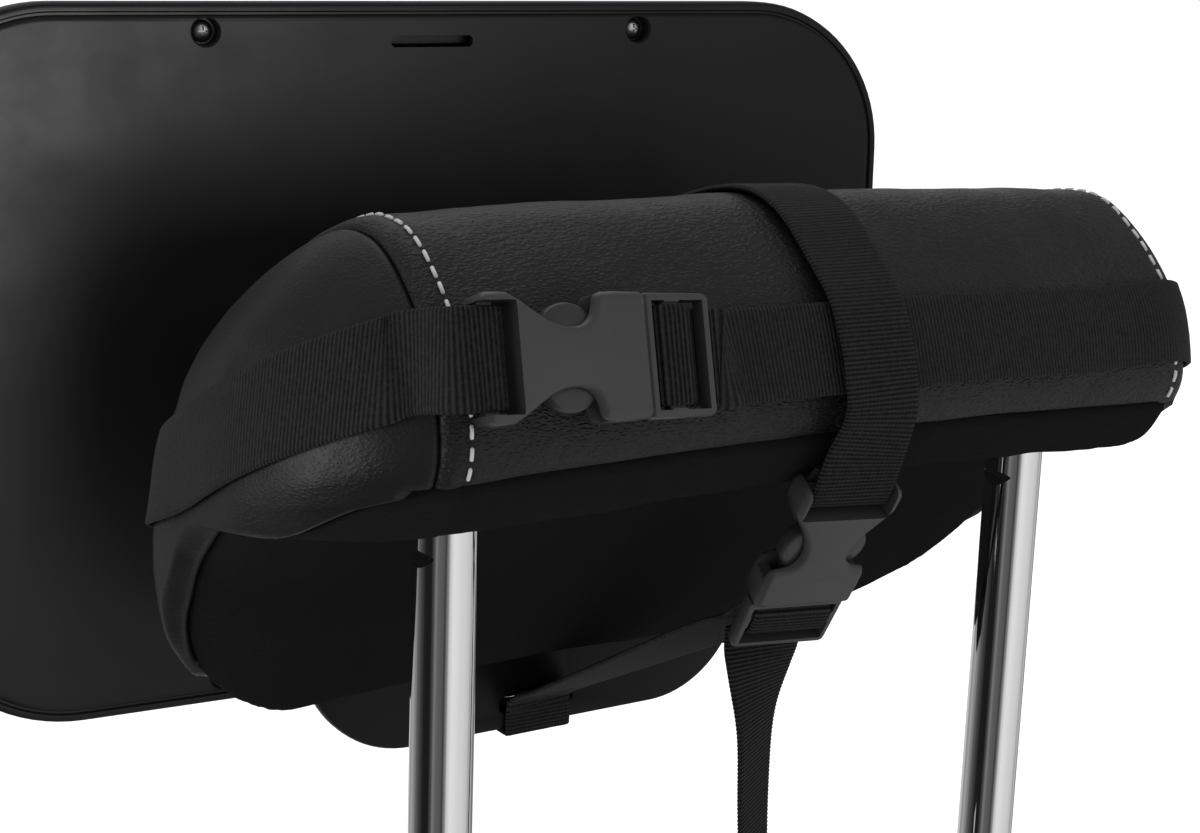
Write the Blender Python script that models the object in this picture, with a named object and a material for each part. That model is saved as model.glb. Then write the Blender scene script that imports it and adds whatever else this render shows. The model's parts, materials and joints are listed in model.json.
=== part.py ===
"""Car headrest on two posts, with a rear-seat mirror strapped round it.

The row frame has +Z up along the posts, +X along the headrest and +Y towards the front of the seat,
with its origin midway between the lower ends of the posts. All sizes are in millimetres, and MM
turns them into metres when a mesh is made. Heights named LEVEL count from the posts' lower ends.
"""

import math

import bpy
import bmesh
import numpy as np
from mathutils import Euler, Matrix, Vector
from mathutils.bvhtree import BVHTree

MM = 0.001
GAP = 0.3

# Posts and the steel frame inside the pad
POST_SPACING = 164.2
POST_RADIUS = 7.0
POST_EXPOSED = 170.0
POST_BURIED = 42.0
NOTCH_BELOW_PAD = 8.0
NOTCH_HEIGHT = 6.0
NOTCH_DEPTH = 3.6
CROSSBAR_RADIUS = 6.0
PLATE_THICKNESS = 1.5

# Pad: a comma-shaped section, swept along X and drawn in towards its two ends
PAD_LEVEL = POST_EXPOSED
PAD_HALF_WIDTH = 128.0
SEAM_X = 97.0
RIM_X = 122.5
PAD_ARCH_Z = 2.0
PAD_CROWN_Y = 5.0
CORE_DEPTH = 2.4
CORE_HALF_WIDTH = 119.5
END_SCALE = 0.3
END_CENTRE = (35.5, -2.0)
LOWER_START = -5.0
LOWER_CORNER = {-1: 7.5, 1: 35.0}
LOWER_END_SCALE = {-1: 0.31, 1: 0.18}
COVER_THICKNESS = 1.6
SEAM_GAP = 0.35
LEATHER_SECTION = [
    (-33.8, 16), (-36.2, 25), (-33.5, 39), (-26, 51), (-14.5, 61), (-3, 65), (12, 63.5),
    (29, 57), (44, 46), (56.5, 31), (66.5, 11), (72.5, -12), (74.5, -32), (72.5, -47), (68.5, -57),
]
FELT_SECTION = [
    (68.5, -57), (63.5, -61), (57, -54), (48, -40), (36.5, -25), (24.5, -12.5), (14, -4), (2, 0), (-12, 1),
    (-25, 4.5), (-33.8, 16),
]

# Webbing
WEB_HALF_WIDTH = 10.0
WEB_THICKNESS = 1.2
REST_HALF_WIDTH = 8.0
WEB_LIFT = 1.8
CROSSING_LIFT = 6.0
BEND_X = 95.0
STRAP_LEAN = math.radians(14)
SIDE_STRAP_TOP = {-1: 44.0, 1: 38.5}
SIDE_STRAP_FALL = {-1: 0.31, 1: 0.25}

# Side-release buckle, measured along its length from the tips of the socket's ears
BUCKLE_LENGTH = 52.0
BUCKLE_HALF_WIDTH = 12.5
SOCKET_LENGTH = 36.5
SOCKET_HALF_HEIGHT = 4.0
SLOT_HALF_WIDTH = 10.8
SOCKET_BAR = (1.0, 4.0)
SOCKET_SLOT_END = 8.0
ADJUSTER_HALF_HEIGHT = 1.8
ADJUSTER_BAR = (41.5, 45.0)
ADJUSTER_SLOTS = ((38.6, 41.5), (45.0, 50.4))
BAR_HALF_HEIGHT = 1.2
PRONG_HINGE = (36.0, 5.2)
PRONG_HALF_HEIGHT = 1.9

# Base plate and ball mount in front of the pad
MOUNT_X = -11.5
MOUNT_LEVEL = PAD_LEVEL + 5.2
PLATE_REAR_Y = 75.0
BASE_THICKNESS = 5.0
BASE_HALF_WIDTH = 67.0
BASE_BOTTOM = PAD_LEVEL - 84.0
BASE_TOP = PAD_LEVEL + 38.0
BASE_CORNER = 30.0
BASE_BAR = 5.0
BASE_SLOT = 4.0
SIDE_SLOT_LEVEL = PAD_LEVEL - 20.0
BALL_Y = 110.8
BALL_RADIUS = 10.0
CUP_RADIUS = 13.0
COLLAR_RADIUS = 16.5
STEM_RADIUS = 5.0
PANEL_DISTANCE = 32.0

# Mirror panel, in its own frame: x right, y forward from the back face, z up
PANEL_ANGLES = (math.radians(0.9), math.radians(-1.5), math.radians(-7.9))
PANEL_WIDTH = 294.0
PANEL_HEIGHT = 195.0
PANEL_CORNER = 44.5
SHELL_DEPTH = 9.0
SHELL_WALL = 2.2
BEZEL_DEPTH = 4.0
BEZEL_BORDER = 14.0
SHEET_LAP = 2.5
SCREW_X = 63.3
SCREW_Z = 89.8
SLOT_Z = 86.9


def clear_scene():
    for obj in list(bpy.data.objects):
        bpy.data.objects.remove(obj)


def material(name, colour, roughness, metallic=0.0):
    """One Principled material for one sub-part."""
    made = bpy.data.materials.new(name)
    made.use_nodes = True
    shader = made.node_tree.nodes["Principled BSDF"]
    shader.inputs["Base Color"].default_value = (*colour, 1.0)
    shader.inputs["Roughness"].default_value = roughness
    shader.inputs["Metallic"].default_value = metallic
    made.diffuse_color = (*colour, 1.0)
    return made


def leather():
    return material("leather", (0.035, 0.035, 0.036), 0.45)


def felt():
    return material("felt", (0.012, 0.012, 0.012), 0.95)


def webbing():
    return material("webbing", (0.018, 0.018, 0.019), 0.8)


def black_plastic():
    return material("black_plastic", (0.03, 0.03, 0.031), 0.45)


def chrome():
    return material("chrome", (0.85, 0.85, 0.86), 0.08, 1.0)


def steel():
    return material("steel", (0.45, 0.45, 0.47), 0.4, 1.0)


def foam():
    return material("foam", (0.6, 0.55, 0.35), 0.9)


def mirror_coat():
    return material("mirror_coat", (0.9, 0.9, 0.9), 0.02, 1.0)


def make(name, points, faces, mat, smooth_angle=None, place=None):
    """An object from points in millimetres. Its faces are turned outwards, and place is its matrix."""
    mesh = bpy.data.meshes.new(name)
    mesh.from_pydata([[value * MM for value in point] for point in points], [], faces)
    work = bmesh.new()
    work.from_mesh(mesh)
    bmesh.ops.recalc_face_normals(work, faces=work.faces)
    if work.calc_volume(signed=True) < 0:
        bmesh.ops.reverse_faces(work, faces=work.faces)
    work.to_mesh(mesh)
    work.free()
    if smooth_angle is not None:
        mesh.shade_smooth()
        mesh.set_sharp_from_angle(angle=math.radians(smooth_angle))
    if mat is not None:
        mesh.materials.append(mat)
    obj = bpy.data.objects.new(name, mesh)
    bpy.context.scene.collection.objects.link(obj)
    if place is not None:
        obj.matrix_world = place
    return obj


def boolean(target, other, operation):
    """Cuts other out of target, or joins it on, and keeps other as a wire helper."""
    other.hide_render = True
    other.display_type = "WIRE"
    modifier = target.modifiers.new(f"{operation.lower()}_{other.name}", "BOOLEAN")
    modifier.operation = operation
    modifier.solver = "EXACT"
    modifier.object = other


def skin(rings, capped=True):
    """Faces that join one closed ring of points to the next, with both ends capped."""
    size = len(rings[0])
    faces = []
    for row in range(len(rings) - 1):
        for i in range(size):
            j = (i + 1) % size
            faces.append((row * size + i, row * size + j, (row + 1) * size + j, (row + 1) * size + i))
    if capped:
        faces.append(tuple(range(size))[::-1])
        faces.append(tuple((len(rings) - 1) * size + i for i in range(size)))
    return [point for ring in rings for point in ring], faces


def lathe(profile, axis_point, axis, segments):
    """Rings for a turned solid. profile is (distance along the axis, radius), from end to end."""
    axis = Vector(axis).normalized()
    side = axis.orthogonal().normalized()
    up = axis.cross(side)
    centre = Vector(axis_point)
    rings = []
    for along, radius in profile:
        ring = []
        for i in range(segments):
            angle = 2 * math.pi * i / segments
            ring.append(centre + axis * along + (side * math.cos(angle) + up * math.sin(angle)) * radius)
        rings.append(ring)
    return rings


def turned(name, profile, axis_point, axis, mat, segments=32, place=None, smooth_angle=35):
    points, faces = skin(lathe(profile, axis_point, axis, segments))
    return make(name, points, faces, mat, smooth_angle, place)


def tube(name, profile, axis_point, axis, mat, segments=32, place=None):
    """A turned ring whose profile is a closed loop clear of the axis."""
    rings = lathe(profile, axis_point, axis, segments)
    rings.append(rings[0])
    points, faces = skin(rings, capped=False)
    last = (len(rings) - 1) * segments
    faces = [tuple(index % last for index in face) for face in faces]
    return make(name, points[:last], faces, mat, 35, place)


def rounded_outline(half_width, half_height, radius, steps):
    """Corner points of a rounded rectangle about the origin, anticlockwise."""
    outline = []
    corners = ((1, 1, 0), (-1, 1, 90), (-1, -1, 180), (1, -1, 270))
    for sign_x, sign_z, start in corners:
        for i in range(steps + 1):
            angle = math.radians(start + 90 * i / steps)
            x = sign_x * (half_width - radius) + radius * math.cos(angle)
            z = sign_z * (half_height - radius) + radius * math.sin(angle)
            outline.append((x, z))
    return outline


def slab(name, outline, y_range, mat, place=None, centre=(0.0, 0.0)):
    """A flat plate with that outline in x and z, between two values of y."""
    rings = [[(centre[0] + x, y, centre[1] + z) for x, z in outline] for y in y_range]
    points, faces = skin(rings)
    return make(name, points, faces, mat, 30, place)


def box(name, low, high, mat=None, place=None):
    """A block between two corners; without a material it serves as a cutter."""
    outline = [(low[0], low[2]), (high[0], low[2]), (high[0], high[2]), (low[0], high[2])]
    return slab(name, outline, (low[1], high[1]), mat, place)


# ---------------------------------------------------------------- pad

def pad_section():
    """The pad's closed outline in y and z at the middle, and how many of its points are leather."""
    leather_line = np.array(LEATHER_SECTION, float)
    felt_line = np.array(FELT_SECTION, float)
    for end, inner in ((0, 1), (-1, -2)):
        step = felt_line[inner] - felt_line[end]
        felt_line[end] += step / np.linalg.norm(step) * SEAM_GAP
    return np.vstack([leather_line, felt_line]), len(leather_line)


def pad_ring(x):
    """The pad's outline at x, arched a little and drawn in towards the rounded end."""
    section, _ = pad_section()
    reach = min(abs(x) / SEAM_X, 1.0) ** 2
    side = -1 if x < 0 else 1
    forward = np.where(section[:, 0] < END_CENTRE[0], 0.0, -PAD_CROWN_Y)
    arched = section + np.column_stack([forward, np.full(len(section), -PAD_ARCH_Z)]) * reach
    depth = np.clip((LOWER_START - section[:, 1]) / 40.0, 0.0, 1.0)
    low = depth * depth * (3 - 2 * depth)
    start = SEAM_X - LOWER_CORNER[side] * low
    along = np.clip((abs(x) - start) / (PAD_HALF_WIDTH - start), 0.0, 1.0)
    drawn = 0.25 * along + 0.75 * (1 - np.sqrt(1 - along * along))
    end_scale = END_SCALE + (LOWER_END_SCALE[side] - END_SCALE) * low
    scale = 1 - (1 - end_scale) * drawn
    centre = np.array(END_CENTRE)
    ring = centre + (arched - centre) * scale[:, None]
    return np.column_stack([np.full(len(ring), float(x)), ring[:, 0], ring[:, 1] + PAD_LEVEL])


def pad_stations():
    """Where along x the pad has a ring: close pairs stand either side of each seam."""
    middle = [0.0, 20.0, 40.0, 60.0, 75.0, 86.0, SEAM_X]
    width = PAD_HALF_WIDTH - SEAM_X
    end = [SEAM_X + SEAM_GAP] + [SEAM_X + width * math.sin(math.radians(angle)) for angle in (12, 25, 38)]
    rim = [RIM_X - SEAM_GAP, RIM_X]
    tip = [SEAM_X + width * math.sin(math.radians(angle)) for angle in (66, 77, 90)]
    right = middle + end + rim + tip
    return [-x for x in right[:0:-1]] + right


def pad_grid():
    """The pad's rings and the outward direction at each of their points."""
    rings = np.array([pad_ring(x) for x in pad_stations()])
    points = rings.reshape(-1, 3).tolist()
    count = rings.shape[1]
    _, faces = skin(rings)
    work = bpy.data.meshes.new("pad_guide")
    work.from_pydata(points, [], faces)
    mesh = bmesh.new()
    mesh.from_mesh(work)
    bmesh.ops.recalc_face_normals(mesh, faces=mesh.faces)
    if mesh.calc_volume(signed=True) < 0:
        bmesh.ops.reverse_faces(mesh, faces=mesh.faces)
    mesh.normal_update()
    normals = np.array([list(vertex.normal) for vertex in mesh.verts]).reshape(-1, count, 3)
    share_normals(normals)
    tree = BVHTree.FromBMesh(mesh)
    mesh.free()
    bpy.data.meshes.remove(work)
    return rings, normals, tree


def seam_pairs():
    """Neighbouring rings, and neighbouring points of a ring, that stand either side of a seam."""
    stations = pad_stations()
    rows = [i for i in range(len(stations) - 1) if stations[i + 1] - stations[i] < SEAM_GAP * 1.5]
    _, leather_count = pad_section()
    return rows, ((leather_count - 1, leather_count), (-1, 0))


def share_normals(normals):
    """Gives both sides of a seam one direction, so that its gap stays even, and keeps the end caps flat."""
    rows, columns = seam_pairs()
    pairs = [(normals[:, first], normals[:, second]) for first, second in columns]
    pairs += [(normals[row], normals[row + 1]) for row in rows]
    for first, second in pairs:
        shared = first + second
        shared /= np.linalg.norm(shared, axis=1)[:, None]
        first[:] = shared
        second[:] = shared
    for row, side in ((0, -1), (-1, 1)):
        normals[row, :, 1:] *= math.sqrt(0.5) / np.linalg.norm(normals[row, :, 1:], axis=1)[:, None]
        normals[row, :, 0] = side * math.sqrt(0.5)


def shell(name, grid, chosen, caps, mat):
    """A closed cover: the chosen cells of the grid, thickened inwards. caps names the ends it closes."""
    rings, normals, _ = grid
    outer = rings.reshape(-1, 3)
    inner = outer - normals.reshape(-1, 3) * COVER_THICKNESS
    size = rings.shape[1]
    cells = [(row * size + i, row * size + (i + 1) % size, (row + 1) * size + (i + 1) % size, (row + 1) * size + i)
             for row, i in chosen]
    for row in caps:
        cells.append(tuple(row * size + i for i in range(size)))
    used = {}
    for cell in cells:
        for index in cell:
            used.setdefault(index, len(used))
    order = list(used)
    points = [outer[i] for i in order] + [inner[i] for i in order]
    half = len(order)
    faces = [tuple(used[i] for i in cell) for cell in cells]
    edges = {}
    for face in faces:
        for a, b in zip(face, face[1:] + face[:1]):
            key = (min(a, b), max(a, b))
            edges[key] = edges.get(key, 0) + 1
    walls = [(a, b, b + half, a + half) for (a, b), count in edges.items() if count == 1]
    backs = [tuple(i + half for i in face[::-1]) for face in faces]
    return make(name, points, faces + backs + walls, mat, 40)


def pad_covers(grid):
    """Leather centre and two leather ends over the top, and one felt panel underneath."""
    _, leather_count = pad_section()
    stations = pad_stations()
    size = grid[0].shape[1]
    leather_cells = range(leather_count - 1)
    felt_cells = range(leather_count, size - 1)
    centre, left, right, under = [], [], [], []
    for row, (x_from, x_to) in enumerate(zip(stations, stations[1:])):
        middle = (x_from + x_to) / 2
        if abs(middle) < SEAM_X:
            centre += [(row, i) for i in leather_cells]
        elif abs(middle) > SEAM_X + SEAM_GAP:
            end = left if middle < 0 else right
            closed = abs(middle) > RIM_X
            end += [(row, i) for i in (range(size) if closed else leather_cells)]
        if abs(middle) < RIM_X - SEAM_GAP:
            under += [(row, i) for i in felt_cells]
    shell("cover_centre", grid, centre, [], leather())
    shell("cover_left", grid, left, [0], leather())
    shell("cover_right", grid, right, [len(stations) - 1], leather())
    panel = shell("underside_felt", grid, under, [], felt())
    for side in (-1, 1):
        boolean(panel, post_hole(f"felt_hole_{side}", side, POST_RADIUS + 0.5), "DIFFERENCE")


def post_hole(name, side, radius):
    top = PAD_LEVEL + POST_BURIED
    return turned(name, [(0, radius), (top + GAP, radius)], (side * POST_SPACING / 2, 0, 0), (0, 0, 1), None, 24)


def pad_core(grid):
    """Moulded foam inside the covers, with a channel for the posts and the steel frame."""
    rings, normals, _ = grid
    inset = rings - normals * CORE_DEPTH
    rows, columns = seam_pairs()
    count = len(rings)
    spare_rows = [row + (row < count / 2) for row in rows] + [0, 1, 2, count - 3, count - 2, count - 1]
    inset = np.delete(inset, spare_rows, axis=0)
    inset = np.delete(inset, [columns[0][1], len(rings[0]) - 1], axis=1)
    inset[0, :, 0] = -CORE_HALF_WIDTH
    inset[-1, :, 0] = CORE_HALF_WIDTH
    points, faces = skin(inset)
    core = make("foam_core", points, faces, foam(), 40)
    for side in (-1, 1):
        boolean(core, post_hole(f"core_hole_{side}", side, POST_RADIUS + GAP), "DIFFERENCE")
    boolean(core, crossbar("crossbar_room", CROSSBAR_RADIUS + GAP, POST_SPACING / 2, None), "DIFFERENCE")
    boolean(core, support_plate("plate_room", GAP, None), "DIFFERENCE")


def crossbar(name, radius, half_length, mat):
    level = PAD_LEVEL + POST_BURIED - CROSSBAR_RADIUS - 8
    profile = [(-half_length, radius), (half_length, radius)]
    return turned(name, profile, (0, 0, level), (1, 0, 0), mat, 20)


def support_plate(name, grow, mat):
    """A bent steel plate that hangs from the crossbar into the front of the pad."""
    line = [(CROSSBAR_RADIUS + GAP, 27.5), (22, 22), (36, 8), (56, -26)]
    half_width = 62.0 + grow
    half = PLATE_THICKNESS / 2 + grow
    path = np.array(line, float)
    ends = np.array([path[1] - path[0], path[-1] - path[-2]])
    ends /= np.linalg.norm(ends, axis=1)[:, None]
    path[0] -= ends[0] * grow * 2
    path[-1] += ends[1] * grow
    upper, lower = [], []
    for i, point in enumerate(path):
        tangent = path[min(i + 1, len(path) - 1)] - path[max(i - 1, 0)]
        tangent /= np.linalg.norm(tangent)
        normal = np.array([-tangent[1], tangent[0]])
        upper.append(point + normal * half)
        lower.append(point - normal * half)
    loop = upper + lower[::-1]
    rings = [[(x, y, z + PAD_LEVEL) for y, z in loop] for x in (-half_width, half_width)]
    points, faces = skin(rings)
    return make(name, points, faces, mat)


def posts():
    """Two chromed posts with rounded lower ends and a lock notch on their left side."""
    top = PAD_LEVEL + POST_BURIED - GAP
    profile = [(0, POST_RADIUS - 2.0), (0.8, POST_RADIUS - 0.7), (2.2, POST_RADIUS), (top, POST_RADIUS)]
    for name, side in (("post_left", -1), ("post_right", 1)):
        x = side * POST_SPACING / 2
        post = turned(name, profile, (x, 0, 0), (0, 0, 1), chrome(), 40)
        face = x - POST_RADIUS + NOTCH_DEPTH
        outer = x - POST_RADIUS - 1
        level = PAD_LEVEL - NOTCH_BELOW_PAD
        slope = [(outer, level), (face, level), (face, level - 2.0), (outer, level - NOTCH_HEIGHT)]
        boolean(post, slab(f"{name}_notch", slope, (-POST_RADIUS - 1, POST_RADIUS + 1), None), "DIFFERENCE")
    bar_end = POST_SPACING / 2 - POST_RADIUS - GAP
    crossbar("frame_crossbar", CROSSBAR_RADIUS, bar_end, steel())
    support_plate("frame_plate", 0.0, steel())


# ---------------------------------------------------------------- webbing

def ribbon(name, path, across, mat, half_width=WEB_HALF_WIDTH):
    """A strap of even thickness along path; across is its width direction at each point."""
    rings = []
    for i, point in enumerate(path):
        tangent = (Vector(path[min(i + 1, len(path) - 1)]) - Vector(path[max(i - 1, 0)])).normalized()
        side = Vector(across[i])
        side = (side - tangent * side.dot(tangent)).normalized()
        normal = tangent.cross(side) * (WEB_THICKNESS / 2)
        centre = Vector(point)
        side *= half_width
        rings.append([centre - side - normal, centre + side - normal, centre + side + normal, centre - side + normal])
    points, faces = skin(rings)
    return make(name, points, faces, mat, 40)


def wrap(origin, along, out, bar, half_height, lead, tuck, approach=0.0):
    """A path that comes in over a bar, goes round it and comes back underneath.

    bar is (start, end) along the unit vector along, and out points to the side the strap comes in on.
    approach lifts the incoming strap further to that side.
    """
    clear = GAP + WEB_THICKNESS / 2
    layer = (WEB_THICKNESS + GAP) / 2
    flat = half_height + clear
    corner = flat - 0.55
    steps = [
        (bar[0] - lead, layer + approach), (bar[0], flat), (bar[1] + 0.35, flat), (bar[1] + clear, corner),
        (bar[1] + clear, -corner), (bar[1] + 0.35, -flat), (bar[0], -flat), (bar[0] - tuck, -layer),
    ]
    return [Vector(origin) + Vector(along) * s + Vector(out) * n for s, n in steps]


def cast(tree, origin, outward, across, lift):
    """Where a strap rests on the pad, on the line that leaves origin, and which way it faces there.

    The pad under the strap's two edges says how the strap tilts.
    """
    spots = []
    for offset in (-REST_HALF_WIDTH, 0, REST_HALF_WIDTH):
        start = origin + across * offset + outward * 200
        spots.append(tree.ray_cast(start, -outward)[0])
    low, middle, high = spots
    chord = (high - low).normalized()
    facing = (outward - chord * outward.dot(chord)).normalized()
    return middle + facing * (lift + WEB_THICKNESS / 2), facing


def round_the_side(tree, side, lift, first, last, step, tops=SIDE_STRAP_TOP):
    """A strap's rests on the back and one end of the pad.

    first and last count millimetres along the back up to BEND_X, and from there degrees round the end.
    tops gives the strap's level at the middle of the back for each side.
    """
    rests = []
    for s in np.arange(first, last, step):
        along = min(s, BEND_X)
        angle = math.radians(max(0.0, s - BEND_X))
        height = tops[side] - 2.0 * (along / BEND_X) ** 2 - SIDE_STRAP_FALL[side] * math.degrees(angle)
        origin = Vector((side * along, END_CENTRE[0] - 15, PAD_LEVEL + height))
        outward = Vector((side * math.sin(angle), -math.cos(angle), 0))
        rests.append(cast(tree, origin, outward, Vector((0, 0, 1)), lift))
    return rests


def evened(points):
    """The same points with small facets averaged out, the two ends kept."""
    middle = [(a + b * 2 + c) / 4 for a, b, c in zip(points, points[1:], points[2:])]
    return [points[0]] + middle + [points[-1]]


def laid(rests, hint):
    """The path of a strap over its rests, and its width direction at each; hint says which way that points."""
    path = evened([rest[0] for rest in rests])
    normals = evened([rest[1] for rest in rests])
    across = []
    for i, normal in enumerate(normals):
        tangent = path[min(i + 1, len(path) - 1)] - path[max(i - 1, 0)]
        side = tangent.cross(normal).normalized()
        across.append(side if side.dot(Vector(hint)) > 0 else -side)
    return path, across


def widths_between(path, start, end):
    """Width directions that turn evenly from start to end along the path."""
    count = len(path) - 1
    return [Vector(start).lerp(Vector(end), i / count).normalized() for i in range(count + 1)]


# ---------------------------------------------------------------- buckles

def buckle_frame(ear_tip, along, across):
    """A matrix for one buckle: its own x runs along it, y across it and z out of its face."""
    along = Vector(along).normalized()
    across = Vector(across)
    across = (across - along * across.dot(along)).normalized()
    out = along.cross(across)
    columns = Matrix((along, across, out)).transposed().to_4x4()
    columns.translation = Vector(ear_tip) * MM
    return columns


def upper_buckle_frame():
    return buckle_frame((-98.4, -38.4, PAD_LEVEL + 40.8), (0.997, -0.058, -0.043), (0.059, 0.305, 0.95))


def lower_buckle_frame():
    return buckle_frame((-0.4, -33.4, PAD_LEVEL + 6.0), (0.055, 0.523, -0.851), (0.987, -0.156, -0.032))


def extruded(name, outline, half_height, mat, place):
    """A plate whose outline lies in the buckle's x and y, even about z."""
    rings = [[(x, y, z) for x, y in outline] for z in (-half_height, half_height)]
    points, faces = skin(rings)
    return make(name, points, faces, mat, 30, place)


def socket_outline():
    """The socket's H shape: square shoulders, and a bite each side that is steeper towards the plug."""
    half = BUCKLE_HALF_WIDTH
    top = [(0.6, half - 1.2), (2.0, half), (7.3, half), (9.8, 10.9), (12.5, 8.6), (15.6, 6.9), (19.0, 6.1),
           (21.6, 6.2), (23.6, 7.4), (24.6, 9.5), (25.4, 11.6), (26.6, half)]
    top += [(SOCKET_LENGTH - 1.0, half), (SOCKET_LENGTH, half - 1.0)]
    return top + [(x, -y) for x, y in reversed(top)]


def socket(name, place):
    """The female half: a flat case with a mouth, a window each side and a bar for its strap."""
    body = extruded(name, socket_outline(), SOCKET_HALF_HEIGHT, black_plastic(), place)
    cuts = {
        "slot": ((SOCKET_BAR[1], -SLOT_HALF_WIDTH, -9), (SOCKET_SLOT_END, SLOT_HALF_WIDTH, 9)),
        "bar_top": ((-1, -SLOT_HALF_WIDTH, BAR_HALF_HEIGHT), (SOCKET_BAR[1] + 0.5, SLOT_HALF_WIDTH, 9)),
        "bar_low": ((-1, -SLOT_HALF_WIDTH, -9), (SOCKET_BAR[1] + 0.5, SLOT_HALF_WIDTH, -BAR_HALF_HEIGHT)),
        "bar_end": ((-1, -SLOT_HALF_WIDTH, -9), (SOCKET_BAR[0], SLOT_HALF_WIDTH, 9)),
        "mouth": ((11, -9.4, -2.3), (SOCKET_LENGTH + 1, 9.4, 2.3)),
        "windows": ((11.3, -20, -2.3), (27.6, 20, 2.3)),
    }
    for label, (low, high) in cuts.items():
        boolean(body, box(f"{name}_{label}", low, high, None, place), "DIFFERENCE")
    return body


def plug(name, place):
    """The male half: a shoulder and guide tongue, and a ladder frame that adjusts its strap."""
    half = BUCKLE_HALF_WIDTH
    start = SOCKET_LENGTH + GAP
    outline = [
        (start, -half), (BUCKLE_LENGTH - 1.4, -half + 0.2), (BUCKLE_LENGTH, -half + 1.6),
        (BUCKLE_LENGTH, half - 1.6), (BUCKLE_LENGTH - 1.4, half - 0.2), (start, half),
    ]
    body = extruded(name, outline, ADJUSTER_HALF_HEIGHT, black_plastic(), place)
    tongue = box(f"{name}_tongue", (15.0, -1.6, -1.5), (start + 1, 1.6, 1.5), None, place)
    boolean(body, tongue, "UNION")
    for i, (low, high) in enumerate(ADJUSTER_SLOTS):
        cutter = box(f"{name}_slot_{i}", (low, -SLOT_HALF_WIDTH, -9), (high, SLOT_HALF_WIDTH, 9), None, place)
        boolean(body, cutter, "DIFFERENCE")
    for i, side in enumerate((-1, 1)):
        low, high = sorted((side * BAR_HALF_HEIGHT, side * 9))
        reach = SLOT_HALF_WIDTH - 0.3
        cutter = box(f"{name}_bar_{i}", (ADJUSTER_BAR[0] - 1, -reach, low), (ADJUSTER_BAR[1] + 1, reach, high), None, place)
        boolean(body, cutter, "DIFFERENCE")
    return body


def prong(name, side, place):
    """A sprung arm, hinged at the plug, whose broad head fills the socket's window."""
    hinge_x, hinge_y = PRONG_HINGE
    outline = [(hinge_x + 0.2, 4.0), (hinge_x + 0.2, 6.4), (28.6, 6.6), (26.4, 8.0)]
    for i in range(7):
        angle = math.radians(30 + 120 * i / 6)
        outline.append((19.6 + 5.6 * math.cos(angle), 6.0 + 4.6 * math.sin(angle)))
    outline += [(13.8, 6.4), (15.0, 4.6), (24.0, 4.0)]
    outline = [(x - hinge_x, side * (y - hinge_y)) for x, y in outline]
    hinge = place @ Matrix.Translation(Vector((hinge_x, side * hinge_y, 0)) * MM)
    return extruded(name, outline, PRONG_HALF_HEIGHT, black_plastic(), hinge)


def buckle(prefix, place, sides):
    socket(f"{prefix}_socket", place)
    plug(f"{prefix}_plug", place)
    for label, side in zip(sides, (-1, 1)):
        prong(f"{prefix}_prong_{label}", side, place)


# ---------------------------------------------------------------- straps

def in_buckle(place, steps):
    """Points given along and out of a buckle, in the row frame and in millimetres."""
    return [(place @ Vector((s * MM, 0, n * MM))) / MM for s, n in steps]


def adjuster_steps(load, tail_end):
    """The way the webbing threads the ladder frame, as (along, out) from its load side to the tail."""
    return load + [
        (39.9, -1.9), (39.8, 0.2), (40.3, 1.7), (41.6, 2.2), (45.0, 2.2), (46.6, 1.6), (47.4, 0.2),
        (48.2, -1.6), (50.2, -2.8), (tail_end, -2.9),
    ]


def plate_bar(direction, level, x):
    """Where a strap's loop starts on the base plate: just outside the bar, at mid-thickness."""
    return Vector((x, PLATE_REAR_Y + BASE_THICKNESS / 2, level)) - Vector(direction)


def horizontal_straps(tree):
    """One strap from the socket round the left end, and one from the plug round the right end."""
    place = upper_buckle_frame()
    axes = place.to_3x3()
    along, across, out = (Vector(axes.col[i]) for i in range(3))
    origin = place.translation / MM
    upright = Vector((0, 0, 1))
    slot_in = [Vector((1, 0, 0)), Vector((-1, 0, 0))]
    for side, name in ((-1, "strap_left"), (1, "strap_right")):
        inward = slot_in[0] if side < 0 else slot_in[1]
        edge = plate_bar(inward, SIDE_SLOT_LEVEL, MOUNT_X + side * BASE_HALF_WIDTH)
        loop = wrap(edge, inward, Vector((0, -1, 0)), (1.0, 1.0 + BASE_BAR), BASE_THICKNESS / 2, 11.0, 4.0)
        if side < 0:
            sewn = wrap(origin, along, out, SOCKET_BAR, BAR_HALF_HEIGHT, 6.0, 3.0)[::-1]
            rests = round_the_side(tree, side, WEB_LIFT + 1.0, 108.0, BEND_X + 30, 6.5)
            rests += round_the_side(tree, side, WEB_LIFT, BEND_X + 36, BEND_X + 172, 6.5)
        else:
            steps = adjuster_steps([(58.0, -4.6), (51.0, -4.6), (46.0, -4.3), (41.0, -3.2)], 57.0)
            sewn = in_buckle(place, steps[::-1])
            level = {-1: SIDE_STRAP_TOP[1]}
            rests = round_the_side(tree, -1, WEB_LIFT, 3.0, 38.0, 8.0, level)[::-1]
            rests += round_the_side(tree, side, WEB_LIFT, 3.0, BEND_X + 172, 6.5)
        lying, turns = laid(rests, upright)
        path = sewn + lying + loop
        turns = widths_between(sewn, across, across) + turns
        turns += widths_between(loop, upright, upright)
        ribbon(name, path, turns, webbing())


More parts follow.
